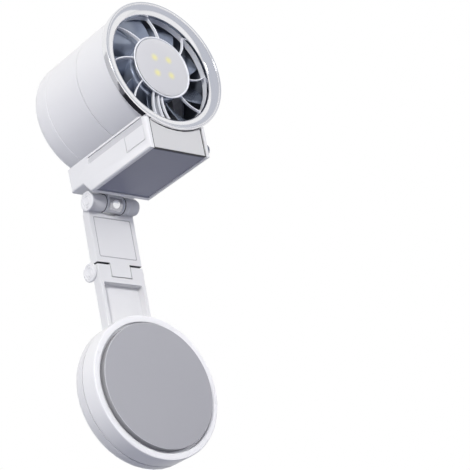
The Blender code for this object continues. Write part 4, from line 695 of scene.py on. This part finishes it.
def blade(bm, phase):
    """One twisted and cambered blade, lofted from inside the hub to the tip."""
    inner = HUB - ROOT_SINK
    sections = []
    for i in range(BLADE_STATIONS + 1):
        share = i / BLADE_STATIONS
        radius = inner + (TIP_R - inner) * share
        chord = ROOT_CHORD + (TIP_CHORD - ROOT_CHORD) * share
        pitch = ROOT_PITCH + (TIP_PITCH - ROOT_PITCH) * share
        thick = BLADE_THICK + (TIP_THICK - BLADE_THICK) * share
        upper, lower = [], []
        for k in range(BLADE_POINTS):
            part = k / (BLADE_POINTS - 1)
            bow = CAMBER * chord * math.sin(math.pi * part)
            half = thick / 2 * (EDGE_SHARE + (1 - EDGE_SHARE) * math.sin(math.pi * part) ** 0.5)
            for side, points in ((1, upper), (-1, lower)):
                across = bow + side * half
                run = chord * part
                ahead = wheel_front - FRONT_SET - run * math.sin(pitch) + across * math.cos(pitch)
                turn = (run * math.cos(pitch) + across * math.sin(pitch)) / radius
                points.append(on_fan(radius, phase + BLADE_SWEEP * share + turn, ahead))
        sections.append(upper + lower[::-1])
    loft(bm, sections)


bm = bmesh.new()
for k in range(BLADES_COUNT):
    blade(bm, 2 * math.pi * k / BLADES_COUNT)
inner, sheet_back, boss_back = HUB - HUB_SHEET, wheel_front - HUB_SHEET, wheel_front - BOSS_LENGTH
hub = [(BORE_R, wheel_front)]
hub += arc((HUB - HUB_ROUND, wheel_front - HUB_ROUND), HUB_ROUND, 90, 0, 6)
hub += [(HUB, wheel_back), (inner, wheel_back), (inner, sheet_back)]
hub += [(BOSS_R, sheet_back), (BOSS_R, boss_back), (BORE_R, boss_back)]
spin_profile(bm, hub, FRONT)
add_piece("impeller_wheel", bm, "rotor", BLADES, ("impeller",))

# %% [markdown]
# ## The intake, the box and its covers
# These are the moulded pieces with many cuts. Each is a copy of its solid with small moulded radii.
# The front plate gets a second, dark copy behind it, and shrinking the pale one a little lets the
# dark one show as a thin line of painted shade in the gap round the plate.

# %% Moulded copies on the head
PLATE_SCALE_X, PLATE_SCALE_Z = 0.968, 0.975
PLATE_PROUD = 0.06 * MM
softened("rear_grille", "fan_head", WHITE, 0.15 * MM)
box = softened("box_shell", "fan_head", WHITE, 0.2 * MM)
BAND_FROM, BAND_TO = 3.6 * MM, 0.5 * MM
box_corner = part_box("box_shell")[1]
band_low, band_high = box_corner.z - BAND_FROM, box_corner.z - BAND_TO
band_x = box_corner.x - HAIR / 2


def on_band(centre, normal):
    """True for the sunk strip that runs along both side walls just under the barrel."""
    return abs(normal.x) > FACES_IT and band_low < centre.z < band_high and abs(centre.x) < band_x


# painted shade: the sunk strip under the barrel is coloured darker, as the barrel's shade
paint(box, SHADE_BAND, on_band)
plate = softened("front_plate", "fan_head", PLATE, 0.1 * MM)
# painted shade: a dark copy of the plate shows round the pale one as the shade of its gap
softened("front_plate", "fan_head", GAP_SHADE, 0.1 * MM, name="plate_gap_shade")
centre = middle("front_plate")
shrink = Matrix.Diagonal((PLATE_SCALE_X, 1, PLATE_SCALE_Z, 1)) @ Matrix.Translation(-centre)
plate.data.transform(Matrix.Translation(centre + Vector((0, -PLATE_PROUD, 0))) @ shrink)
softened("bottom_panel", "fan_head", SLATE, 0.2 * MM)
softened("inlet_cover", "inlet_door", WHITE, 0.15 * MM)
softened("charging_inlet", "fan_head", STEEL, 0.05 * MM)

# %% [markdown]
# The two links of the arm are copies too. Where they meet, the shoulders of the upper one are
# painted black, as painted shade in the gap.

# %% Arm links
SHOULDER_RISE = 3.3 * MM
upper = softened("upper_link", "upper_arm", ARM, 0.12 * MM)
shoulder_z = MID_AXIS.z + SHOULDER_RISE
# painted shade: the down-facing faces of the shoulders are coloured black
paint(upper, GAP_SHADE, lambda centre, normal: normal.z < -FACES_IT and abs(centre.z - shoulder_z) < HAIR)
softened("lower_link", "lower_arm", ARM, 0.12 * MM)

# %% [markdown]
# The inset cover is a lid with a thin flange that fills the shallow step round it. A grey strip
# shows as a hair line of painted shade in the gap between the lid and the link. Both are bridged
# between rounded rectangles, which needs no cuts.


# %% Lid of the upper link
def plate_outline(half, low, high, y, radius):
    """A rectangle in the XZ plane with rounded corners."""
    corners = ((half, high, 0), (-half, high, 90), (-half, low, 180), (half, low, 270))
    points = []
    for x, z, start in corners:
        centre = (x - math.copysign(radius, x), z - radius if z == high else z + radius)
        points += [Vector((px, y, pz)) for px, pz in arc(centre, radius, start, start + 90, 5)]
    return points


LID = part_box("upper_link_cover")
LINK_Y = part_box("lower_link")[0].y
FLANGE = 1.98 * MM
FLANGE_BELOW = 1.08 * MM
FLANGE_SET = 0.05 * MM
FLANGE_BACK = 0.38 * MM
FLANGE_ROUND = 0.5 * MM
LID_ROUND = 0.3 * MM
HAIRLINE = 0.32 * MM
HAIRLINE_SET_FRONT, HAIRLINE_SET_BACK = 0.04 * MM, 0.02 * MM
bm = bmesh.new()
half, low, high = LID[1].x, LID[0].z, LID[1].z
front, foot = LINK_Y + FLANGE_SET, LINK_Y + FLANGE_BACK
flange = (half + FLANGE - HAIRLINE, low - FLANGE_BELOW + HAIRLINE, high + FLANGE - HAIRLINE)
loft(bm, [plate_outline(*flange, y, FLANGE_ROUND) for y in (front, foot)])
loft(bm, [plate_outline(half, low, high, y, LID_ROUND) for y in (foot, LID[1].y)])
bmesh.ops.recalc_face_normals(bm, faces=bm.faces)
add_piece("link_lid", bm, "upper_arm", ARM, ("upper_link_cover",), 0.06 * MM)
# painted shade: a grey strip round the flange stands for the shade in its gap
bm = bmesh.new()
outer = (half + FLANGE, low - FLANGE_BELOW, high + FLANGE)
loft(bm, [plate_outline(*outer, y, FLANGE_ROUND) for y in (front + HAIRLINE_SET_FRONT, foot - HAIRLINE_SET_BACK)])
bmesh.ops.recalc_face_normals(bm, faces=bm.faces)
add_piece("lid_hairline_shade", bm, "upper_arm", HAIRLINE_SHADE)

# %% [markdown]
# ## Caps, washers, screw and button
# The hinge pins are hidden by pressed-in caps with turned rings. They are small, but they sit on
# the outline of the arm. A bump in the finish would not change the outline, so each gets its own
# spun profile with a dished middle and two shallow grooves.

# %% Hinge caps
CAP_SEAT = 12.8 * MM
CAP_ROUND = 0.4 * MM
CAP_STEM_R = 1.1 * MM
DISH_R = 0.9 * MM
DISH_DEPTH, DISH_EDGE = 0.15 * MM, 0.1 * MM
GROOVE_SHARES = (0.42, 0.72)
GROOVE_HALF = 0.25 * MM
GROOVE_DEPTH = 0.28 * MM
GROOVE_STEP = 0.02 * MM


def hinge_cap(name, node, centre, direction, body):
    low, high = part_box(node)
    radius = (high.z - low.z) / 2
    outer = max(abs(low.x), abs(high.x))
    inner = min(abs(low.x), abs(high.x))
    profile = [(0, outer - DISH_DEPTH), (DISH_R, outer - DISH_EDGE)]
    for share in GROOVE_SHARES:
        ring_r = radius * share
        profile += [(ring_r - GROOVE_HALF, outer - GROOVE_STEP), (ring_r, outer - GROOVE_DEPTH)]
        profile += [(ring_r + GROOVE_HALF, outer)]
    profile += arc((radius - CAP_ROUND, outer - CAP_ROUND), CAP_ROUND, 90, 0, 5)
    profile += [(radius, CAP_SEAT), (CAP_STEM_R, CAP_SEAT), (CAP_STEM_R, inner), (0, inner)]
    place = facing(Vector((0, centre.y, centre.z)), direction)
    spun_piece(name, profile, place, body, "white_shell", WHITE, (node,), steps=64, closed=False)


for side, direction in (("left", (-1, 0, 0)), ("right", (1, 0, 0))):
    hinge_cap(f"head_cap_{side}", f"head_hinge_cap_{side}", HEAD_AXIS, direction, "upper_arm")
    hinge_cap(f"mid_cap_{side}", f"mid_hinge_cap_{side}", MID_AXIS, direction, "lower_arm")
    softened(f"head_hinge_washer_{side}", "upper_arm", GRILLE, 0.1 * MM)

# %% [markdown]
# Dark rings on both sides of the lug are painted shade in the gaps of the head hinge, and a fine
# ridge runs round the right knuckle. The lug itself carries a thin curved plate, lofted along an arc
# about the hinge's axis.

# %% Rings of the head hinge
RING_SET = 0.05 * MM
RING_R = span("head_hinge_washer_right").z / 2 - RING_SET
RING_SINK = 0.3 * MM
WIDE, NARROW = 0.5 * MM, 0.25 * MM
RIDGE_FROM = 2.6 * MM
RIDGE_RISE = 0.1 * MM
KNUCKLE_R = 4.0 * MM
HINGE_CENTRE = Vector((0, HEAD_AXIS.y, HEAD_AXIS.z))
ALONG = facing(HINGE_CENTRE, (1, 0, 0))
lug_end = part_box("head_hinge_washer_right")[1].x
# painted shade: the two black rings stand for the dark gaps beside the lug
for name, start, width, radius, material in (
    ("gap_shade_right", lug_end, WIDE, RING_R, GAP_SHADE),
    ("gap_shade_left", -lug_end - NARROW, NARROW, RING_R, GAP_SHADE),
    ("ridge_right", lug_end + RIDGE_FROM, NARROW, KNUCKLE_R + RIDGE_RISE, GRILLE),
):
    inner, end = KNUCKLE_R - RING_SINK, start + width
    profile = [(inner, start), (radius, start), (radius, end), (inner, end)]
    spun_piece(name, profile, ALONG, "upper_arm", "pad_rubber", material, steps=64)

# %% Plate on the lug
LUG_HALF = 3.4 * MM
PLATE_IN, PLATE_OUT = KNUCKLE_R + 0.02 * MM, KNUCKLE_R + 0.14 * MM
PLATE_START, PLATE_SWEEP = math.radians(142), math.radians(104)
PLATE_STEPS = 24
CORNERS = ((-LUG_HALF, PLATE_IN), (LUG_HALF, PLATE_IN), (LUG_HALF, PLATE_OUT), (-LUG_HALF, PLATE_OUT))
bm = bmesh.new()
sections = []
for i in range(PLATE_STEPS + 1):
    angle = PLATE_START + PLATE_SWEEP * i / PLATE_STEPS
    ray = Vector((0, math.cos(angle), math.sin(angle)))
    sections.append([HINGE_CENTRE + Vector((x, 0, 0)) + ray * radius for x, radius in CORNERS])
loft(bm, sections)
bmesh.ops.recalc_face_normals(bm, faces=bm.faces)
add_piece("lug_plate", bm, "fan_head", LUG_STEEL)

# %% Tension screw and button
softened("tension_screw", "fan_head", CHROME, 0.08 * MM, angle=50)
softened("power_button", "button", BUTTON, 0.08 * MM, angle=50)

# %% [markdown]
# ## The disc
# The disc is a white case in two halves round a magnet, with a fine chamfer where they meet and a
# slightly greyer rear half. The front half has a rim round the rubber pad whose front is painted
# brighter, as painted light. The pad stands a little proud, with a narrow gap round it whose side is
# painted dark as shade, and a painted highlight on its rounded edge. The front half and the pad are
# spun like the barrel, and the rear half, which carries the hinge, is a copy of its solid.

# %% Disc shells and pad
ON_DISC = facing(Vector((0, 0, 0)), (0, -1, 0))
half_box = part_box("disc_front_shell")
pad_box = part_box("magnetic_pad")
PAD_R = span("magnetic_pad").x / 2
PAD_GAP = 1.1 * MM
RIM_IN = PAD_R + PAD_GAP
RIM_ROUND_IN, RIM_ROUND_OUT = 0.3 * MM, 0.5 * MM
CHAMFER = 0.25 * MM
CASE_WALL = 2 * MM
CASE_FLOOR = 1.2 * MM
rim_front, parting = -half_box[0].y, -half_box[1].y
seat = -pad_box[1].y - FIT
profile = [(0, seat), (RIM_IN, seat)]
profile += arc((RIM_IN + RIM_ROUND_IN, rim_front - RIM_ROUND_IN), RIM_ROUND_IN, 180, 90, 5)
profile += arc((DISC_R - RIM_ROUND_OUT, rim_front - RIM_ROUND_OUT), RIM_ROUND_OUT, 90, 0, 6)
profile += [(DISC_R, parting + CHAMFER), (DISC_R - CHAMFER, parting), (DISC_R - CASE_WALL, parting)]
profile += [(DISC_R - CASE_WALL, seat - CASE_FLOOR), (0, seat - CASE_FLOOR)]
dress = ("disc", "white_shell", WHITE)
case = spun_piece("disc_case_front", profile, ON_DISC, *dress, ("disc_front_shell",), closed=False)
# painted light: the front-facing faces of the case are coloured brighter
paint(case, RIM_LIGHT, lambda centre, normal: normal.y < -FACES_IT)
softened("disc_rear_shell", "disc", REAR_CASE, 0.3 * MM)

PAD_ROUND = 0.35 * MM
SIDE_BELOW, FLAT_ABOVE = 0.5, 0.98
pad_front, pad_back = -pad_box[0].y, -pad_box[1].y
profile = [(0, pad_front)]
profile += arc((PAD_R - PAD_ROUND, pad_front - PAD_ROUND), PAD_ROUND, 90, 0, 5)
profile += [(PAD_R, pad_back), (0, pad_back)]
dress = ("disc", "pad_rubber", RUBBER)
rubber = spun_piece("rubber_pad", profile, ON_DISC, *dress, ("magnetic_pad",), closed=False)
# painted shade: the pad's side faces are coloured darker
paint(rubber, PAD_SIDE_SHADE, lambda centre, normal: abs(normal.y) < SIDE_BELOW)
# painted highlight: the faces of the pad's rounded edge are coloured lighter
paint(rubber, PAD_EDGE_HIGHLIGHT, lambda centre, normal: SIDE_BELOW <= abs(normal.y) < FLAT_ABOVE)

# %% [markdown]
# ## Finishes for the solids that stay
# The hidden pieces still show through the guard or when a cover is open, so each keeps its solid
# and gets the finish that belongs to its material slot in the record.

# %% Dress the remaining solids
BY_SLOT = {
    "white_shell": WHITE,
    "arm_grey": ARM,
    "plate_grey": PLATE,
    "slate": SLATE,
    "pad_rubber": RUBBER,
    "chrome": CHROME,
    "grille_white": GRILLE,
    "impeller_blue": BLADES,
    "lens": FROST,
    "led": CHIP,
    "board": BOARD,
    "steel": STEEL,
    "magnet": MAGNET,
    "battery": FILM,
    "copper": COPPER,
}
slots = {entry["node"]: entry["material_slot"] for entry in frame["record"]["subparts"]}
for node, solid in frame["nodes"].items():
    solid.data.materials.clear()
    solid.data.materials.append(BY_SLOT[slots[node]])
print("dressed", len(slots), "solids")

# %% [markdown]
# ## Floor, light and background
# The fan is photographed from below against plain white. The floor lies far under it, so the
# camera never meets it, but other views show it. The key lamp stands a little left of the camera and
# low: the box then shades the knuckles under it, and every small step throws a crisp shadow. Large
# weak lamps fill the front, the right side and the back, and a small low one lights the left side.

# %% Floor
# The floor looks like lit paper to the camera and keeps the object's shadow, but it sends little
# light back up, so undersides stay dark.
FLOOR_Z = -0.30
FLOOR_HALF = 30.0
SHADOW_SHARE = 0.25
BOUNCE = (0.16, 0.17, 0.23, 1)
bm = bmesh.new()
bmesh.ops.create_grid(bm, x_segments=1, y_segments=1, size=FLOOR_HALF)
bmesh.ops.translate(bm, vec=(0, 0, FLOOR_Z), verts=bm.verts)
mesh = bpy.data.meshes.new("floor")
bm.to_mesh(mesh)
bm.free()
floor = bpy.data.objects.new("floor", mesh)
bpy.context.scene.collection.objects.link(floor)
pale = finish("pale_floor", (0.86, 0.86, 0.87), (0.84, 0.84, 0.85), 0.7, grain=0.0)
mesh.materials.append(pale)


def show_to_camera(tree, seen, bounced, output):
    """Shows one shader to camera, glossy and transmission rays, and another to diffuse rays."""
    paths = add_node(tree, "ShaderNodeLightPath")
    total = paths.outputs["Is Camera Ray"]
    for ray in ("Is Glossy Ray", "Is Transmission Ray"):
        both = add_node(tree, "ShaderNodeMath", operation="MAXIMUM")
        join_sockets(tree, total, both.inputs[0])
        join_sockets(tree, paths.outputs[ray], both.inputs[1])
        total = both.outputs[0]
    choose = add_node(tree, "ShaderNodeMixShader")
    join_sockets(tree, total, choose.inputs["Fac"])
    join_sockets(tree, bounced, choose.inputs[1])
    join_sockets(tree, seen, choose.inputs[2])
    join_sockets(tree, choose.outputs["Shader"], output.inputs["Surface"])


tree = pale.node_tree
dim = add_node(tree, "ShaderNodeBsdfDiffuse")
dim.inputs["Color"].default_value = BOUNCE
paper = add_node(tree, "ShaderNodeEmission", Strength=1.0)
paper.inputs["Color"].default_value = (1, 1, 1, 1)
shown = add_node(tree, "ShaderNodeMixShader")
shown.inputs["Fac"].default_value = SHADOW_SHARE
join_sockets(tree, paper.outputs["Emission"], shown.inputs[1])
join_sockets(tree, tree.nodes["Principled BSDF"].outputs["BSDF"], shown.inputs[2])
show_to_camera(tree, shown.outputs["Shader"], dim.outputs["BSDF"], tree.nodes["Material Output"])


# %% Lamps
AIM = Vector((0, -0.01, 0.06))


def area_lamp(name, place, size, power, colour):
    data = bpy.data.lights.new(name, "AREA")
    data.shape = "DISK"
    data.size = size
    data.energy = power
    data.color = colour
    lamp = bpy.data.objects.new(name, data)
    bpy.context.scene.collection.objects.link(lamp)
    lamp.location = place
    lamp.rotation_euler = (AIM - Vector(place)).to_track_quat("-Z", "Y").to_euler()
    lamp.visible_glossy = False


KEY_AT = (-1.20, -1.06, 0.48)
area_lamp("key_lamp", KEY_AT, 0.22, 17.2, (1, 0.985, 0.965))
area_lamp("fill_lamp", (0.15, -1.8, 0.40), 0.9, 7.5, (0.98, 0.98, 1))
area_lamp("side_lamp", (1.3, -0.9, 0.35), 1.0, 4.5, (0.98, 0.98, 1))
area_lamp("back_lamp", (0.9, 1.5, 0.6), 1.0, 6.5, (0.98, 0.98, 1))
area_lamp("low_lamp", (-0.80, 0.10, -0.21), 0.14, 1.65, (0.96, 0.97, 1))

# %% [markdown]
# Chrome shows only what stands round it. In a white room it would be white all over, so a studio
# puts dark and grey cards out of the picture. A black one lies low behind the fan with a grey one
# beside it, a second grey one stands over them, and a pale lavender one stands far in front. A small
# bright card stands in for the key lamp, so its highlights keep soft edges. Only reflections see the
# cards, and none casts a shadow.


# %% Cards for the chrome
def card(name, place, towards, width, height, colour, strength=1.0):
    """A glowing sheet, turned to a direction, that only mirror-like reflections see."""
    bm = bmesh.new()
    bmesh.ops.create_grid(bm, x_segments=1, y_segments=1, size=0.5)
    bmesh.ops.scale(bm, vec=(width, height, 1), verts=bm.verts)
    bmesh.ops.transform(bm, matrix=facing(place, towards), verts=bm.verts)
    mesh = bpy.data.meshes.new(name)
    bm.to_mesh(mesh)
    bm.free()
    sheet = bpy.data.objects.new(name, mesh)
    bpy.context.scene.collection.objects.link(sheet)
    material = bpy.data.materials.new(name)
    material.use_nodes = True
    tree = material.node_tree
    tree.nodes.clear()
    glow = add_node(tree, "ShaderNodeEmission", Strength=strength)
    glow.inputs["Color"].default_value = (*colour, 1)
    output = add_node(tree, "ShaderNodeOutputMaterial")
    join_sockets(tree, glow.outputs["Emission"], output.inputs["Surface"])
    mesh.materials.append(material)
    sheet.visible_camera = False
    sheet.visible_diffuse = False
    sheet.visible_shadow = False
    sheet.visible_transmission = False


ON_FLOOR = FLOOR_Z + 0.01
card("black_card", (-0.30, 0.50, ON_FLOOR), (0, 0, 1), 0.64, 0.85, (0.02, 0.02, 0.025))
card("low_card", (-1.12, 0.80, ON_FLOOR), (0, 0, 1), 1.0, 1.2, (0.16, 0.16, 0.18))
card("rear_card", (-0.85, 0.75, 0.20), (0.85, -0.75, -0.17), 0.9, 0.7, (0.60, 0.60, 0.63))
card("key_card", KEY_AT, (1.2, 1.05, -0.38), 0.4, 0.4, (1, 1, 1), 5.0)
card("front_card", (-0.6, -3, 1.9), (0, 1, 0), 8, 4.4, (0.60, 0.62, 0.68))

# %% [markdown]
# The background has to be plain white, but a white world would also light the fan from everywhere
# and wash out its form. So the world has two faces: camera and mirror-like rays see pure white, and
# diffuse rays see a soft grey that is dim below and brighter above.

# %% World
world = bpy.data.worlds.new("studio")
bpy.context.scene.world = world
world.use_nodes = True
tree = world.node_tree
tree.nodes.clear()
coords = add_node(tree, "ShaderNodeTexCoord")
split = add_node(tree, "ShaderNodeSeparateXYZ")
join_sockets(tree, coords.outputs["Generated"], split.inputs["Vector"])
height = add_node(tree, "ShaderNodeMapRange")
height.inputs["From Min"].default_value = -1
join_sockets(tree, split.outputs["Z"], height.inputs["Value"])


def sky(stops):
    """A background whose grey follows the height of the direction, from below at 0 to above at 1."""
    ramp = add_node(tree, "ShaderNodeValToRGB")
    while len(ramp.color_ramp.elements) < len(stops):
        ramp.color_ramp.elements.new(0.5)
    for element, (position, colour) in zip(ramp.color_ramp.elements, stops):
        element.position = position
        element.color = (*colour, 1)
    join_sockets(tree, height.outputs["Result"], ramp.inputs["Fac"])
    shade = add_node(tree, "ShaderNodeBackground", Strength=1.0)
    join_sockets(tree, ramp.outputs["Color"], shade.inputs["Color"])
    return shade.outputs["Background"]


soft = sky([(0.30, (0.10, 0.105, 0.14)), (0.52, (0.38, 0.385, 0.41)), (0.80, (0.58, 0.58, 0.59))])
white = add_node(tree, "ShaderNodeBackground", Strength=1.0)
white.inputs["Color"].default_value = (1, 1, 1, 1)
show_to_camera(tree, white.outputs["Background"], soft, add_node(tree, "ShaderNodeOutputWorld"))
bpy.context.scene.view_settings.view_transform = "Standard"
